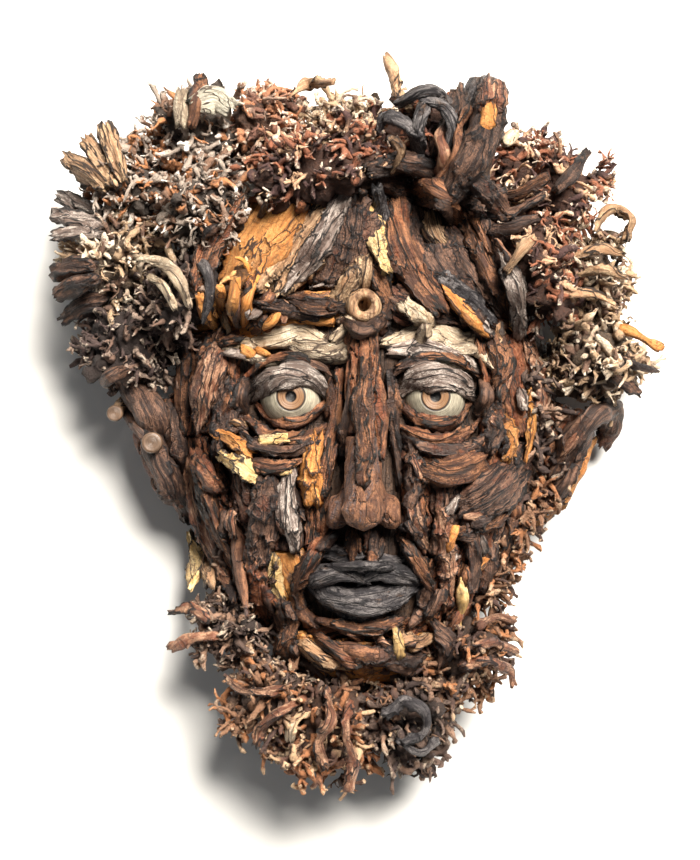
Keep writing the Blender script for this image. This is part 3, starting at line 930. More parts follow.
def close_tree(maker, geometry, material):
    """Ends a tree with its geometry shaded smooth and in its material."""
    geometry = maker.add("GeometryNodeSetShadeSmooth", {"Geometry": geometry, "Shade Smooth": True})
    geometry = maker.add("GeometryNodeSetMaterial", {"Geometry": geometry, "Material": material})
    maker.add("NodeGroupOutput", {"Geometry": geometry})


def ground_under(maker, ground, place):
    """The height of the ground under a place."""
    parts = maker.parts(place)
    above = maker.add("ShaderNodeCombineXYZ", {"X": parts, "Y": parts.beside("Y"), "Z": 1.0})
    values = {"Target Geometry": ground, "Source Position": above}
    values |= {"Ray Direction": (0, 0, -1), "Ray Length": 2.0}
    return maker.parts(maker.add("GeometryNodeRaycast", values, "Hit Position"), "Z")


def pushed(maker, geometry, offset):
    """The geometry with its points moved by an offset."""
    return maker.add("GeometryNodeSetPosition", {"Geometry": geometry, "Offset": offset})


def along_normal(maker, height):
    """The offset that raises a point off the surface by a height."""
    return maker.scaled(maker.add("GeometryNodeInputNormal"), height)


def relief_tree():
    """Wears a plain solid to wood: plates parted by fissures, furrows along the grain, swells and grit."""
    inputs = {"Grain Angle": 0.0, "Seed": 0.0, "Shift": 0.0, "Ground": None, "Material": None}
    tree, maker, given = new_geometry_tree("wood_relief", inputs | RELIEFS["plates"])
    geometry = given["Geometry"]

    place = maker.add("GeometryNodeInputPosition")
    drift = maker.vector("SUBTRACT", maker.noise(place, 17, 1.0, output="Color"), (0.5, 0.5, 0.5))
    wobble = maker.vector("SUBTRACT", maker.noise(place, 75, 1.0, output="Color"), (0.5, 0.5, 0.5))
    drift = maker.vector("MULTIPLY", drift, (3, 3, 0))
    drift = maker.vector("ADD", drift, maker.vector("MULTIPLY", wobble, (1, 1, 0)))
    shift = maker.scaled(drift, given["Shift"])
    ground = maker.add("GeometryNodeObjectInfo", {"Object": given["Ground"]}, "Geometry")
    moved = maker.vector("ADD", place, shift)
    rise = ground_under(maker, ground, moved) - ground_under(maker, ground, place)
    shift = maker.vector("ADD", shift, maker.add("ShaderNodeCombineXYZ", {"Z": rise}))
    geometry = pushed(maker, geometry, shift)

    place = maker.add("GeometryNodeInputPosition")
    values = {"Vector": place, "Axis": (0, 0, 1), "Angle": 0.0 - given["Grain Angle"]}
    grain = maker.add("ShaderNodeVectorRotate", values)
    grain = maker.vector("ADD", grain, given["Seed"] * 7.3)
    values = {"Name": "own_grain"}
    own = maker.add("GeometryNodeInputNamedAttribute", values, "Attribute", data_type="FLOAT_VECTOR")
    values = {"Switch": own.beside("Exists"), "False": grain, "True": own}
    grain = maker.add("GeometryNodeSwitch", values, input_type="VECTOR")
    values = {"Geometry": geometry, "Name": "grain", "Value": grain}
    geometry = maker.add("GeometryNodeStoreNamedAttribute", values, data_type="FLOAT_VECTOR")

    pattern = wood_pattern(maker, grain, given)
    fissure, plate, furrow, swell = (pattern[name] for name in ("fissure", "plate", "furrow", "swell"))
    grit = maker.noise(grain, 700, 2.0, 0.7)
    height = (
        (swell - 0.5) * given["Swell"] * 3
        + (plate - 0.5) * given["Plate Step"]
        + (furrow - 0.5) * given["Furrow Depth"] * 2.5
        + (grit - 0.5) * given["Grit"] * 2
        - fissure * given["Fissure Depth"]
    )
    geometry = pushed(maker, geometry, along_normal(maker, height))
    close_tree(maker, geometry, given["Material"])
    return tree


def root_tree():
    """Turns chains of points into knobbly roots, with the thickness that each point states."""
    inputs = {"Sides": 4, "Knob Height": 0.0011, "Knob Size": 0.0036, "Material": None}
    tree, maker, given = new_geometry_tree("knobbly_roots", inputs)
    values = {"Name": "thick"}
    thick = maker.add("GeometryNodeInputNamedAttribute", values, "Attribute", data_type="FLOAT")
    line = maker.add("GeometryNodeMeshToCurve", {"Mesh": given["Geometry"]})
    circle = maker.add("GeometryNodeCurvePrimitiveCircle", {"Resolution": given["Sides"], "Radius": 1.0})
    values = {"Curve": line, "Profile Curve": circle, "Scale": thick, "Fill Caps": True}
    geometry = maker.add("GeometryNodeCurveToMesh", values)
    knob = maker.noise(maker.add("GeometryNodeInputPosition"), 1 / given["Knob Size"], 1.0) - 0.5
    geometry = pushed(maker, geometry, along_normal(maker, knob * given["Knob Height"] * 3))
    close_tree(maker, geometry, given["Material"])
    return tree


def tree_named(name):
    """A geometry node tree, made when it is first asked for."""
    makers = {"wood_relief": relief_tree, "knobbly_roots": root_tree}
    return bpy.data.node_groups.get(name) or makers[name]()


def use_tree(obj, name, values):
    """Gives an object a geometry node tree and sets the tree's named inputs."""
    modifier = obj.modifiers.new(name, "NODES")
    modifier.node_group = tree_named(name)
    for socket in modifier.node_group.interface.items_tree:
        if socket.in_out == "INPUT" and socket.name in values:
            modifier[socket.identifier] = values[socket.name]


# Meshes


def solid_copy(name, node):
    """An object with a merged copy of a CAD solid."""
    bm = bmesh.new()
    bm.from_mesh(NODES[node].data)
    bmesh.ops.remove_doubles(bm, verts=bm.verts[:], dist=1e-6)
    return bmesh_object(name, bm)


def linked(name, data):
    """An object of the data, in the scene."""
    obj = bpy.data.objects.new(name, data)
    bpy.context.scene.collection.objects.link(obj)
    return obj


def bmesh_object(name, bm):
    mesh = bpy.data.meshes.new(name)
    bm.to_mesh(mesh)
    bm.free()
    return linked(name, mesh)


def set_values(mesh, name, values):
    """Stores a number on each point of a mesh, or three where the values are rows of three."""
    values = np.asarray(values, np.float32)
    kind, key = ("FLOAT_VECTOR", "vector") if values.ndim == 2 else ("FLOAT", "value")
    mesh.attributes.new(name, kind, "POINT").data.foreach_set(key, values.ravel())


def made_plain(obj):
    """Applies an object's modifiers, so that its mesh is what shows."""
    bpy.context.view_layer.update()
    graph = bpy.context.evaluated_depsgraph_get()
    shown = obj.evaluated_get(graph)
    mesh = bpy.data.meshes.new_from_object(shown, preserve_all_data_layers=True, depsgraph=graph)
    old = obj.data
    obj.modifiers.clear()
    obj.data = mesh
    bpy.data.meshes.remove(old)
    mesh.name = obj.name
    return obj


def place_piece(obj, slot, *nodes):
    """Cuts a finished piece off flat at the floor and tells the frame what it is."""
    places = np.empty(len(obj.data.vertices) * 3, np.float32)
    obj.data.vertices.foreach_get("co", places)
    places[2::3] = np.maximum(places[2::3], 0)
    obj.data.vertices.foreach_set("co", places)
    obj.data.update()
    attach(obj, "root")
    if nodes:
        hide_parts(*nodes)


def wear(obj, material, relief, angle=0, facet=None, seed=0, shift=0.0, smoothing=0, kept=1.0):
    """Wears an object to wood, with the angle of its grain in degrees. Where a facet is given, it is
    remeshed that finely first. The share of its faces that is kept can be lowered."""
    if facet:
        remesh = obj.modifiers.new("remesh", "REMESH")
        remesh.mode = "VOXEL"
        remesh.voxel_size = facet
    if smoothing:
        smooth = obj.modifiers.new("smooth", "SMOOTH")
        smooth.factor = 0.5
        smooth.iterations = smoothing
    values = {"Grain Angle": math.radians(angle), "Seed": float(seed), "Shift": float(shift)}
    values |= {"Ground": NODES["carved_ground"], "Material": material}
    use_tree(obj, "wood_relief", RELIEFS[relief] | values)
    if kept < 1:
        fewer = obj.modifiers.new("fewer", "DECIMATE")
        fewer.ratio = kept
    return made_plain(obj)


def wear_node(node, relief, angle, facet, seed, **settings):
    """The worn piece that stands for a CAD node. One of root wood is worn as brown bark."""
    material = material_of(SLOTS[node] if SLOTS[node] in WOODS else "brown_bark", relief)
    obj = wear(solid_copy(f"{node}_wood", node), material, relief, angle, facet, seed, **settings)
    place_piece(obj, SLOTS[node], node)


# Places on the solids


def middle_of(node):
    """The middle of a node and half its size."""
    low, high = (np.array(corner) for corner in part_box(node))
    return (low + high) / 2, (high - low) / 2


def formed(node):
    """The middle of a burl as it stands in the scene and half its size."""
    x, y, size = BURL_FORMS.get(node, (0, 0, 1))
    middle, half = middle_of(node)
    return middle + (x * MM, y * MM, 0), half * size


def core_size(node):
    """The size of the wood under a burl's roots against the burl's solid."""
    return CORE_SHARE * BURL_FORMS.get(node, (0, 0, 1))[2]


def tree_of(nodes, cores=False):
    """A search tree of CAD faces to find places on, with the burls shrunk to their cores or not."""
    places, faces = [], []
    for node in nodes:
        mesh = NODES[node].data
        faces += [[len(places) + index for index in face.vertices] for face in mesh.polygons]
        own = np.array([vertex.co for vertex in mesh.vertices])
        if cores and node in BURL_NODES:
            own = formed(node)[0] + (own - middle_of(node)[0]) * core_size(node)
        places += own.tolist()
    return BVHTree.FromPolygons(places, faces)


def on_solids(x, y, lift):
    """A place over the solids, and which way the ground faces there."""
    down = Vector((0, 0, -1))
    place = SOLIDS.ray_cast(Vector((x, y, 1)), down)[0]
    normal = GROUND.ray_cast(Vector((x, y, 1)), down)[1] or Vector((math.copysign(0.3, x), 0, 1))
    return Vector((x, y, (place.z if place else 0.03) + lift)), normal.normalized()


def smooth_line(points, step):
    """Points along a smooth curve through other points, about a step apart."""
    points = np.array(points, float)
    ahead = np.vstack((2 * points[:1] - points[1:2], points, 2 * points[-1:] - points[-2:-1]))
    line = []
    for a, b, c, d in zip(ahead, ahead[1:], ahead[2:], ahead[3:]):
        count = max(2, round(np.linalg.norm((c - b)[:3]) / step))
        for t in np.linspace(0, 1, count, endpoint=False):
            square, cube = 2 * a - 5 * b + 4 * c - d, 3 * b - a - 3 * c + d
            line.append(0.5 * (2 * b + (c - a) * t + square * t**2 + cube * t**3))
    return np.array(line + [points[-1]])


def held(places):
    """The places, with each that is outside the wood moved to its surface, for a root to hang on."""
    moved = []
    for place in places:
        nearest, normal, _, _ = CORES.find_nearest(Vector(place))
        outside = (Vector(place) - nearest).dot(normal) > 0
        moved.append(nearest if outside else place)
    return np.array(moved)


def on_face(x, y):
    """Whether a place lies on the face, where no hair grows."""
    if y > FACE_WIDEST:
        return (x / FACE_OVAL[0]) ** 2 + ((y - FACE_WIDEST) / FACE_OVAL[1]) ** 2 < 1
    return abs(x) < FACE_SIDE - max(0, -y) * FACE_NARROWING and y > FACE_FOOT


def covered(x, y):
    """Whether a larger stick of the hair lies over a place."""
    return any(math.hypot(x - place[0], y - place[1]) < place[2] for place in STICK_PLACES)


# Search trees of the CAD solids without the features, of the ground, and of the wood as it stands
# in the scene, then the places of the hair's larger sticks with the radius that each keeps clear
SOLIDS = tree_of([name for name in NODES if not name.startswith(("brow_", "lid_", "lip_", "pierced_knot"))])
GROUND = tree_of(["carved_ground"])
CORES = tree_of(NODES, cores=True)
STICK_PLACES = [
    (x * MM, y * MM, row[2] * STICK_SHARE * MM)
    for row in HAIR_SPLINTERS
    for x, y, _ in smooth_line(row[5:], 4)
]


# Lengths of wood


def controls_on_solids(places, fall):
    """Places on the solids, none of them steeper below the one before than the fall allows."""
    controls = []
    for x, y, lift in places:
        place, normal = on_solids(x * MM, y * MM, lift * MM)
        if controls:
            before = controls[-1][0]
            place.z = max(place.z, before.z - fall * (place - before).xy.length)
        controls.append((place, normal))
    return controls


def splinter(chance, width, thick, ends, places, fall):
    """Points and faces of a length of wood, and its grain, which runs along it."""
    width, thick = width * MM, thick * MM
    controls = controls_on_solids(places, fall)
    line = smooth_line([(*place, *normal) for place, normal in controls], SPLINTER_STEP)
    line, ups = line[:, :3], unit(line[:, 3:])
    along = unit(np.gradient(line, axis=0))
    sides = unit(np.cross(along, ups))
    ups = np.cross(sides, along)
    rows = len(line)
    count = int(np.clip(round(2.2 * (width + thick) / SPLINTER_STEP), *SPLINTER_SIDES))
    share = np.linspace(0, 1, rows)[:, None]
    length = np.r_[0, np.cumsum(np.linalg.norm(np.diff(line, axis=0), axis=1))][:, None]
    angles = np.linspace(0, 2 * np.pi, count, endpoint=False)[None, :]
    taper = [
        end + (1 - end) * np.sin(np.clip(part / TAPER, 0, 1) * np.pi / 2)
        for end, part in zip(ends, (share, 1 - share))
    ]
    size = np.minimum(*taper)
    for waves, strength in ((1, 0.10), (2, 0.09), (3, 0.06)):
        turn, run = chance.uniform(0, 6.28, 2), chance.uniform(0.5, 2.2) * length / 0.02
        wave = strength * np.sin(waves * angles + turn[0] + run)
        size = size * (1 + wave + 0.04 * np.sin(run * 1.7 + turn[1]))
    across, upward = (
        np.sign(turn) * np.abs(turn) ** SQUARENESS * size * measure / 2
        for turn, measure in ((np.cos(angles), width), (np.sin(angles), thick))
    )
    twist = chance.normal(0, 0.25) * (share - 0.5)
    cosine, sine = np.cos(twist), np.sin(twist)
    across, upward = across * cosine - upward * sine, across * sine + upward * cosine
    near_end = np.clip(1 - share * rows / 3, 0, 1) - np.clip(1 - (1 - share) * rows / 3, 0, 1)
    ragged = -near_end * chance.uniform(-0.1, 0.45, (1, count)) * min(width, RAGGED_WIDTH)
    rings = line[:, None] + sides[:, None] * across[..., None] + ups[:, None] * upward[..., None]
    rings = rings + along[:, None] * ragged[..., None]
    grain = np.stack((length + ragged, across, upward), 2) + chance.uniform(0, 30)
    points = np.concatenate((rings.reshape(-1, 3), rings[[0, -1]].mean(1)))
    grain = np.concatenate((grain.reshape(-1, 3), grain[[0, -1]].mean(1)))
    faces = []
    for i in range(rows - 1):
        for j in range(count):
            k = (j + 1) % count
            faces.append((i * count + j, i * count + k, (i + 1) * count + k, (i + 1) * count + j))
    last = (rows - 1) * count
    for j in range(count):
        k = (j + 1) % count
        faces.append((rows * count, k, j))
        faces.append((rows * count + 1, last + j, last + k))
    return points, faces, grain


def splinter_objects(name, rows, seed, fall=9.0):
    """Lengths of wood as one object for each wood and relief."""
    chance = np.random.default_rng(seed)
    groups = {}
    for wood, relief, width, thick, ends, *places in rows:
        points, faces, grain = splinter(chance, width, thick, ends, places, fall)
        group = groups.setdefault((wood, relief), ([], [], [], []))
        first = sum(map(len, group[0]))
        group[0].append(points)
        group[1].extend([[first + index for index in face] for face in faces])
        group[2].append(grain)
        group[3].append(np.full(len(points), chance.random()))
    objects = []
    for (wood, relief), (points, faces, grain, tones) in groups.items():
        mesh = bpy.data.meshes.new(f"{name}_{wood}_{relief}")
        mesh.from_pydata(np.concatenate(points).tolist(), [], faces)
        set_values(mesh, "own_grain", np.concatenate(grain))
        set_values(mesh, "tone", np.concatenate(tones))
        objects.append((wear(linked(mesh.name, mesh), material_of(wood, relief), relief), wood))
    return objects


def chip_rows(count, seed):
    """Short chips that lie roughly along the lengths of wood of the face, off its eyes, nose and mouth."""
    chance = np.random.default_rng(seed)
    rows = []
    while len(rows) < count:
        source = FACE_SPLINTERS[chance.integers(len(FACE_SPLINTERS))]
        line = smooth_line(source[5:], 3)[:, :2]
        i = chance.integers(1, len(line) - 1)
        along = unit((line[i + 1] - line[i - 1])[None] + chance.normal(0, 1.2, 2))[0]
        x, y = line[i] + chance.normal(0, 0.4 * source[2], 2)
        if abs(x) > CHIP_EDGE or any(a < abs(x) < b and c < y < d for a, b, c, d in CHIP_FREE):
            continue
        half, width = chance.uniform(4, 11), chance.uniform(3.5, 8.0)
        lift = chance.uniform(7, 13)
        wood, relief = CHIP_WOODS[chance.choice(len(CHIP_WOODS))]
        ends = tuple(chance.uniform(0.3, 0.8, 2))
        places = [
            (x + along[0] * part * half, y + along[1] * part * half, lift - 2 * abs(part))
            for part in (-1, 0, 1)
        ]
        rows.append((wood, relief, width, width * 0.7, ends, *places))
    return rows


def on_side(rows, side):
    """Lengths of wood given for the right of the face, on the side that is asked for."""
    if side == "right":
        return rows
    return [row[:5] + tuple((-x, y, lift) for x, y, lift in row[5:]) for row in rows]


def lathed(name, x, y, profile, sides=56):
    """A turned piece that stands at a place. Its profile runs from its middle out, in millimetres."""
    profile = np.array(profile) * MM
    angles = np.linspace(0, 2 * np.pi, sides, endpoint=False)
    radii, heights = profile[:, :1], profile[:, 1:]
    rings = np.stack((x + radii * np.cos(angles), y + radii * np.sin(angles), heights + 0 * angles), 2)
    points = rings.reshape(-1, 3).tolist() + [(x, y, heights[0, 0]), (x, y, heights[-1, 0])]
    faces, last = [], (len(profile) - 1) * sides
    for j in range(sides):
        k = (j + 1) % sides
        for i in range(len(profile) - 1):
            faces.append((i * sides + j, (i + 1) * sides + j, (i + 1) * sides + k, i * sides + k))
        faces.append((last + sides, j, k))
        faces.append((last + sides + 1, last + k, last + j))
    mesh = bpy.data.meshes.new(name)
    mesh.from_pydata(points, [], faces)
    mesh.shade_smooth()
    set_values(mesh, "turn", np.r_[radii.repeat(sides, 1).ravel(), 0, 0])
    return linked(name, mesh)


# Roots


def turned(directions, axes, angles):
    """Directions turned about axes, all as rows."""
    cosine, sine = np.cos(angles)[:, None], np.sin(angles)[:, None]
    along = (axes * directions).sum(1)[:, None] * axes
    return directions * cosine + np.cross(axes, directions) * sine + along * (1 - cosine)


def unit(rows):
    return rows / np.maximum(np.linalg.norm(rows, axis=1), 1e-9)[:, None]


def grow(chance, starts, directions, radii, steps, step, curl, tones, tips=0.45):
    """Chains of points that curl as they grow: places, thicknesses, tones and reaches, one row for a root."""
    count = len(starts)
    curl = np.full(count, curl) if np.isscalar(curl) else curl
    axes = unit(chance.normal(size=(count, 3)))
    curls = chance.normal(curl, 0.4 * np.abs(curl))
    places, thick = [starts], [radii]
    place = starts
    for i in range(steps):
        tighter = curls * (0.5 + (i + 0.5) / steps)
        astray = chance.normal(0, 0.3, (count, 3)) * curl[:, None]
        directions = unit(turned(directions, axes, tighter) + astray)
        place = place + directions * step * chance.uniform(0.7, 1.25, count)[:, None]
        place[:, 2] = np.maximum(place[:, 2], LOWEST_ROOT)
        share = (i + 1) / steps
        knob = chance.choice([0.75, 1.0, 1.5], count)
        thick.append(radii * (1 - 0.45 * share) * knob)
        places.append(place)
    thick[-1] = thick[-1] * tips
    reaches = np.linspace(0.0, 1.0, steps + 1)[None, :].repeat(count, 0)
    return {
        "places": np.stack(places, 1),
        "thick": np.stack(thick, 1),
        "tones": tones[:, None].repeat(steps + 1, 1),
        "reaches": reaches,
    }


def forks(chance, roots, share, steps, step, curl, tips=0.45):
    """Side roots that leave some of the roots part of the way along."""
    places = roots["places"]
    chosen = np.flatnonzero(chance.random(len(places)) < share)
    at = chance.integers(1, places.shape[1] - 2, len(chosen))
    starts = places[chosen, at]
    along = unit(places[chosen, at + 1] - starts)
    directions = unit(along + chance.normal(0, 0.75, along.shape))
    radii = roots["thick"][chosen, at] * 0.8
    grown = grow(chance, starts, directions, radii, steps, step, curl, roots["tones"][chosen, 0], tips)
    start = roots["reaches"][chosen, at][:, None]
    grown["reaches"] = start + (1 - start) * grown["reaches"]
    return grown


def chain_object(name, batches):
    """An object of chains of points, with each point's thickness, tone and reach."""
    places = np.concatenate([batch["places"].reshape(-1, 3) for batch in batches])
    edges, first = [], 0
    for batch in batches:
        count, length = batch["places"].shape[:2]
        index = first + np.arange(count * length).reshape(count, length)
        edges.append(np.stack((index[:, :-1], index[:, 1:]), 2).reshape(-1, 2))
        first += count * length
    edges = np.concatenate(edges)
    mesh = bpy.data.meshes.new(name)
    mesh.vertices.add(len(places))
    mesh.vertices.foreach_set("co", places.astype(np.float32).ravel())
    mesh.edges.add(len(edges))
    mesh.edges.foreach_set("vertices", edges.astype(np.int32).ravel())
    for attribute, key in (("thick", "thick"), ("tone", "tones"), ("reach", "reaches")):
        set_values(mesh, attribute, np.concatenate([batch[key].ravel() for batch in batches]))
    return linked(name, mesh)


def joined(name, objects):
    """One object of several."""
    with bpy.context.temp_override(active_object=objects[0], selected_editable_objects=objects):
        bpy.ops.object.join()
    objects[0].name = name
    return objects[0]


def burl_roots(
    node, sizes, density=1.0, curl=0.5, bundled=0.0, thickness=1.0, tips=0.45, bridges=20, spread=0.82,
    long=24,
):
    """The fine roots of one burl, most of them on the side that shows, with those that fill the gaps
    to its neighbours, and its longer roots. Each comes with its number of sides."""
    chance = np.random.default_rng(sum(map(ord, node)))
    middle, half = formed(node)
    count = int(sizes.roots * density)
    outward = np.array((middle[0], middle[1] - 0.02, 0.0))
    outward = outward / np.linalg.norm(outward) * 0.5 + (0, 0, 0.5)

    # Roots all over the burl, from its top down
    turns = np.arange(count)
    heights = 1 - (turns + 0.5) / count * ROOTED_HEIGHT
    rings = np.sqrt(1 - heights**2)
    angles = turns * GOLDEN_TURN
    spots = np.stack((rings * np.cos(angles), rings * np.sin(angles), heights), 1)
    spots = unit(spots + chance.normal(0, 0.06, spots.shape))
    sideways = unit(np.cross(spots, chance.normal(size=(count, 3))))
    stand = chance.uniform(0.15, 1.0, count)[:, None]
    directions = unit(spots * stand + sideways * (1 - stand))
    starts = middle + spots * half * spread

    # Straight bundles, which come first
    bundles = int(count * bundled) // BUNDLE
    if bundles:
        aims = unit(chance.normal(size=(bundles, 3)) * 0.6 + outward).repeat(BUNDLE, 0)
        beside = chance.normal(0, 0.006, aims.shape)
        starts = np.concatenate((middle + aims * half * 0.6 + beside, starts))
        directions = np.concatenate((unit(aims + beside * 12), directions))

    # Roots in the gaps to the four nearest burls
    middles = (formed(other)[0] for other in BURL_NODES)
    near = sorted(middles, key=lambda place: np.linalg.norm(place - middle))
    for other in near[1:5]:
        between = middle + (other - middle) * chance.uniform(0.3, 0.55, bridges)[:, None]
        between += chance.normal(0, 0.012, between.shape)
        starts = np.concatenate((starts, between))
        directions = np.concatenate((directions, unit(chance.normal(size=between.shape) + (0, 0, 0.7))))
    curls = np.full(len(starts), curl)
    curls[: bundles * BUNDLE] = 0.06

    # None starts under a larger stick or on the face, where only the orange root belongs
    if node != "root_temple_orange":
        clear = np.array([not covered(x, y) and not on_face(x, y) for x, y, _ in starts])
        starts, directions, curls = starts[clear], directions[clear], curls[clear]
    starts = held(starts)

    # The roots, with two rounds of forks
    tones = chance.random(len(starts))
    radii = sizes.root_radius * thickness * np.clip(chance.lognormal(-0.1, 0.38, len(starts)), 0.45, 2.0)
    step = sizes.root_step * (1 + 0.25 * (thickness - 1))
    roots = grow(chance, starts, directions, radii, steps=5, step=step, curl=curls, tones=tones, tips=tips)
    side = forks(chance, roots, share=0.8, steps=3, step=step * 0.8, curl=curl * 1.3, tips=tips)
    more = forks(chance, roots, share=0.7, steps=3, step=step * 0.7, curl=curl * 1.6, tips=tips)
    fine = chain_object(f"{node}_fine", [roots, side, more])
    if not long:
        return [(fine, 4)]

    # Longer roots among them, from deeper in the burl
    chosen = chance.choice(len(starts), long)
    outward = unit(directions[chosen] + (starts[chosen] - middle) / half)
    radii = sizes.root_radius * chance.uniform(1.0, 1.7, long)
    deep = middle + (starts[chosen] - middle) * 0.8
    tones = chance.random(long)
    stems = grow(chance, deep, outward, radii, steps=9, step=step, curl=0.33, tones=tones, tips=0.8)
    twigs = forks(chance, stems, share=1.0, steps=4, step=step * 0.8, curl=0.7, tips=tips)
    return [(fine, 4), (chain_object(f"{node}_long", [stems, twigs]), 6)]


def dress_burl(node, sizes, wood=None, **look):
    """A burl with its roots."""
    material = material_of(wood or SLOTS[node])
    core = solid_copy(f"{node}_core", node)
    middle, moved = Vector(middle_of(node)[0]), Vector(formed(node)[0])
    shrink = Matrix.Scale(core_size(node), 4) @ Matrix.Translation(-middle)
    core.data.transform(Matrix.Translation(moved) @ shrink)
    parts = [wear(core, material, "burl", facet=sizes.burl_facet, seed=len(node))]
    for roots, sides in burl_roots(node, sizes, **look):
        use_tree(roots, "knobbly_roots", {"Material": material, "Sides": sides})
        parts.append(made_plain(roots))
    place_piece(joined(f"{node}_wood", parts), SLOTS[node], node)


def add_light(name, kind, place, strength, colour):
    """A light that looks at the middle of the face."""
    data = bpy.data.lights.new(name, kind)
    data.energy = strength
    data.color = colour
    light = linked(name, data)
    light.location = place
    light.rotation_euler = (Vector((0, 0, 0.05)) - Vector(place)).to_track_quat("-Z", "Y").to_euler()
    return data


# Operators


class FOUND_OT_slabs(bpy.types.Operator):
    """Wears the bark slabs of the face"""

    bl_idname = "found.slabs"
    bl_label = "Bark slabs"

    def execute(self, context):
        sizes = context.scene.found_wood
        for seed, node in enumerate(SLAB_NODES):
            angle, relief = SLAB_GRAIN[node]
            wear_node(node, relief, angle, sizes.slab_facet, seed + 1, shift=sizes.slab_shift, kept=0.34)
        return {"FINISHED"}


class FOUND_OT_splinters(bpy.types.Operator):
    """Lays lengths of wood over the slabs, the hair and the ears"""

    bl_idname = "found.splinters"
    bl_label = "Lengths of wood"

    def execute(self, context):
        chips = chip_rows(context.scene.found_wood.chips, 8)
        # Each kind's name, its lengths of wood, its seed and how steeply its lengths may fall
        kinds = (
            ("face", FACE_SPLINTERS, 5, 9.0),
            ("hair", HAIR_SPLINTERS, 6, 0.5),
            ("ear", EAR_SPLINTERS, 7, 1.2),
            ("chip", chips, 9, 9.0),
        )
        for name, rows, seed, fall in kinds:
            for obj, wood in splinter_objects(name, rows, seed, fall):
                place_piece(obj, {"yellow_wood": "orange_wood", "red_bark": "brown_bark"}.get(wood, wood))
        return {"FINISHED"}


class FOUND_OT_features(bpy.types.Operator):
    """Wears the brows, eyes, lids, nose, lips and the pierced knot"""

    bl_idname = "found.features"
    bl_label = "Features"

    def execute(self, context):
        facet = context.scene.found_wood.feature_facet
        for seed, side in enumerate(("left", "right")):
            brow = splinter_objects(f"brow_{side}", BROW_SPLINTERS[f"brow_{side}"], seed + 40)
            place_piece(joined(f"brow_{side}_wood", [obj for obj, _ in brow]), "driftwood", f"brow_{side}")
            for obj, wood in splinter_objects(f"eye_{side}_fold", on_side(EYE_SPLINTERS, side), seed + 90):
                place_piece(obj, wood)
            for lid, row in LID_SPLINTERS.items():
                node = f"{lid}_{side}"
                ((obj, _),) = splinter_objects(node, on_side([row], side), seed + 44)
                place_piece(obj, SLOTS[node], node)
            eye = lathed(f"eye_{side}_wood", *middle_of(f"eye_{side}")[0][:2], EYE_PROFILE)
            eye.data.materials.append(turned_material(f"turned_{side}", EYE_WHITE, IRIS))
            place_piece(eye, SLOTS[f"eye_{side}"], f"eye_{side}")
        wear_node("nose_bridge", "furrows", 90, facet, 50, kept=0.4)
        wear_node("nose", "smooth", 80, facet, 51, smoothing=20, kept=0.6)
        for node, rows in MOUTH_SPLINTERS.items():
            ((obj, _),) = splinter_objects(node, rows, 52)
            place_piece(obj, SLOTS[node], node)
        knot = lathed("pierced_knot_ring", *middle_of("pierced_knot")[0][:2], KNOT_PROFILE, 40)
        wear(knot, material_of(SLOTS["pierced_knot"], "smooth"), "smooth", 90, seed=54)
        place_piece(knot, SLOTS["pierced_knot"], "pierced_knot")
        for obj, wood in splinter_objects("knot_socket", KNOT_SPLINTERS, 55):
            place_piece(obj, wood)
        return {"FINISHED"}


class FOUND_OT_side_roots(bpy.types.Operator):
    """Wears the ears, the leaning stump and the carved ground"""

    bl_idname = "found.side_roots"
    bl_label = "Ears, stump and ground"

    def execute(self, context):
        facet = context.scene.found_wood.slab_facet
        for seed, node in enumerate(("ear_left", "ear_right", "hair_stump")):
            wear_node(node, "worn", 70, facet, seed + 60, smoothing=24, kept=0.5)
        wear_node("carved_ground", "furrows", 90, GROUND_FACET, 63, smoothing=4)
        return {"FINISHED"}


class FOUND_OT_hair(bpy.types.Operator):
    """Grows the roots of the hair and the beard on their burls"""

    bl_idname = "found.hair"
    bl_label = "Hair and beard"

    def execute(self, context):
        sizes = context.scene.found_wood
        for node in BURL_NODES:
            dress_burl(node, sizes, **BURL_LOOKS.get(node, {}))
        return {"FINISHED"}


class FOUND_OT_jaw_roots(bpy.types.Operator):
    """Grows short roots along both edges of the jaw and sets the cut knots on the ear"""

    bl_idname = "found.jaw_roots"
    bl_label = "Jaw roots and cut knots"

    def execute(self, context):
        sizes = context.scene.found_wood
        for seed, (name, wood, line) in enumerate(JAW_LINES):
            chance = np.random.default_rng(seed + 200)
            controls = [(x * MM, y * MM, z * MM) for x, y, z in line]
            starts = smooth_line(controls, JAW_STEP)
            starts += chance.normal(0, JAW_SCATTER, starts.shape)
            starts = held(starts)
            outward = np.sign(starts[:, :1]) * (0.7, 0.0, 0.0) + (0, 0, 0.5)
            directions = unit(chance.normal(size=starts.shape) + outward)
            radii = sizes.root_radius * chance.uniform(0.8, 1.6, len(starts))
            tones = chance.random(len(starts))
            step = sizes.root_step
            roots = grow(chance, starts, directions, radii, 7, step, curl=0.35, tones=tones, tips=0.8)
            side = forks(chance, roots, share=0.8, steps=3, step=step * 0.8, curl=0.7, tips=0.8)
            roots = chain_object(name, [roots, side])
            use_tree(roots, "knobbly_roots", {"Material": material_of(wood)})
            place_piece(made_plain(roots), "dark_root")
        for i, (x, y, top, radius) in enumerate(CUT_KNOTS):
            profile = [(share * radius, top + lift) for share, lift in CUT_KNOT_PROFILE]
            profile += [(radius * 0.8, top - 26)]
            knot = lathed(f"cut_knot_{i + 1}", x * MM, y * MM, profile, 28)
            knot.data.materials.append(turned_material(f"cut_knot_{i + 1}", KNOT_WHITE))
            place_piece(knot, "brown_bark")
        return {"FINISHED"}


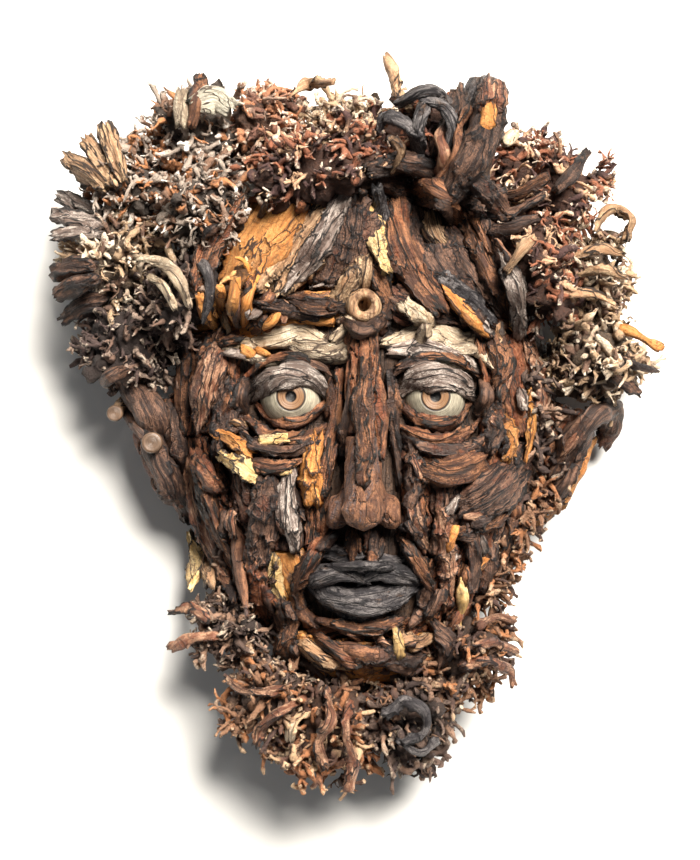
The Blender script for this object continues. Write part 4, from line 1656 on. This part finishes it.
class FOUND_OT_stage(bpy.types.Operator):
    """Lays the pale floor and sets the lights and the camera"""

    bl_idname = "found.stage"
    bl_label = "Stage"

    def execute(self, context):
        stage = context.scene.found_stage
        material, maker = new_material("pale_floor")
        surface(maker, tuple(stage.floor_colour), roughness=0.9, specular=0.1)
        bm = bmesh.new()
        bmesh.ops.create_grid(bm, x_segments=1, y_segments=1, size=FLOOR_REACH)
        floor = bmesh_object("floor", bm)
        floor.data.materials.append(material)

        world = bpy.data.worlds.new("studio")
        world.use_nodes = True
        world.node_tree.nodes.clear()
        maker = Maker(world.node_tree)
        way = maker.add("ShaderNodeTexCoord", output="Generated")
        height = maker.parts(way, "Z")
        low, high = (tuple([strength] * 3) for strength in (stage.horizon_light, stage.world_light))
        colour = maker.blend(maker.step(height, 0.10, 0.40), low, high)
        background = maker.add("ShaderNodeBackground", {"Color": colour})
        maker.add("ShaderNodeOutputWorld", {"Surface": background})
        context.scene.world = world
        key = add_light("key", "SUN", KEY_PLACE, stage.key_light, (1.0, 0.94, 0.86))
        key.angle = stage.key_spread
        fill = add_light("fill", "AREA", FILL_PLACE, stage.fill_power, (0.90, 0.95, 1.0))
        fill.size = FILL_SIZE

        camera = linked("camera", bpy.data.cameras.new("camera"))
        camera.location = (*CAMERA_PLACE, stage.camera_height)
        view_height = stage.view_width * PICTURE_SIZE[1] / PICTURE_SIZE[0]
        distance = stage.camera_height - HAIR_HEIGHT
        camera.data.lens = camera.data.sensor_width * distance / view_height
        camera.data.clip_end = 20
        context.scene.camera = camera
        context.scene.view_settings.view_transform = "Standard"
        return {"FINISHED"}


class FOUND_PT_panel(bpy.types.Panel):
    """Lists the settings and the operators"""

    bl_label = "Found wood face"
    bl_space_type = "VIEW_3D"
    bl_region_type = "UI"
    bl_category = "Found wood"

    def draw(self, context):
        for settings in (context.scene.found_wood, context.scene.found_stage):
            for name in settings.bl_rna.properties.keys():
                if name not in ("rna_type", "name"):
                    self.layout.prop(settings, name)
        for operator in OPERATORS:
            self.layout.operator(operator.bl_idname)


OPERATORS = (
    FOUND_OT_slabs,
    FOUND_OT_splinters,
    FOUND_OT_features,
    FOUND_OT_side_roots,
    FOUND_OT_hair,
    FOUND_OT_jaw_roots,
    FOUND_OT_stage,
)
CLASSES = (WoodSizes, StageSettings, *OPERATORS, FOUND_PT_panel)


def register():
    for cls in CLASSES:
        bpy.utils.register_class(cls)
    bpy.types.Scene.found_wood = bpy.props.PointerProperty(type=WoodSizes)
    bpy.types.Scene.found_stage = bpy.props.PointerProperty(type=StageSettings)


def unregister():
    del bpy.types.Scene.found_stage
    del bpy.types.Scene.found_wood
    for cls in reversed(CLASSES):
        bpy.utils.unregister_class(cls)


def main():
    register()
    bpy.ops.found.slabs()
    bpy.ops.found.splinters()
    bpy.ops.found.features()
    bpy.ops.found.side_roots()
    bpy.ops.found.hair()
    bpy.ops.found.jaw_roots()
    bpy.ops.found.stage()


if __name__ == "__main__":
    main()
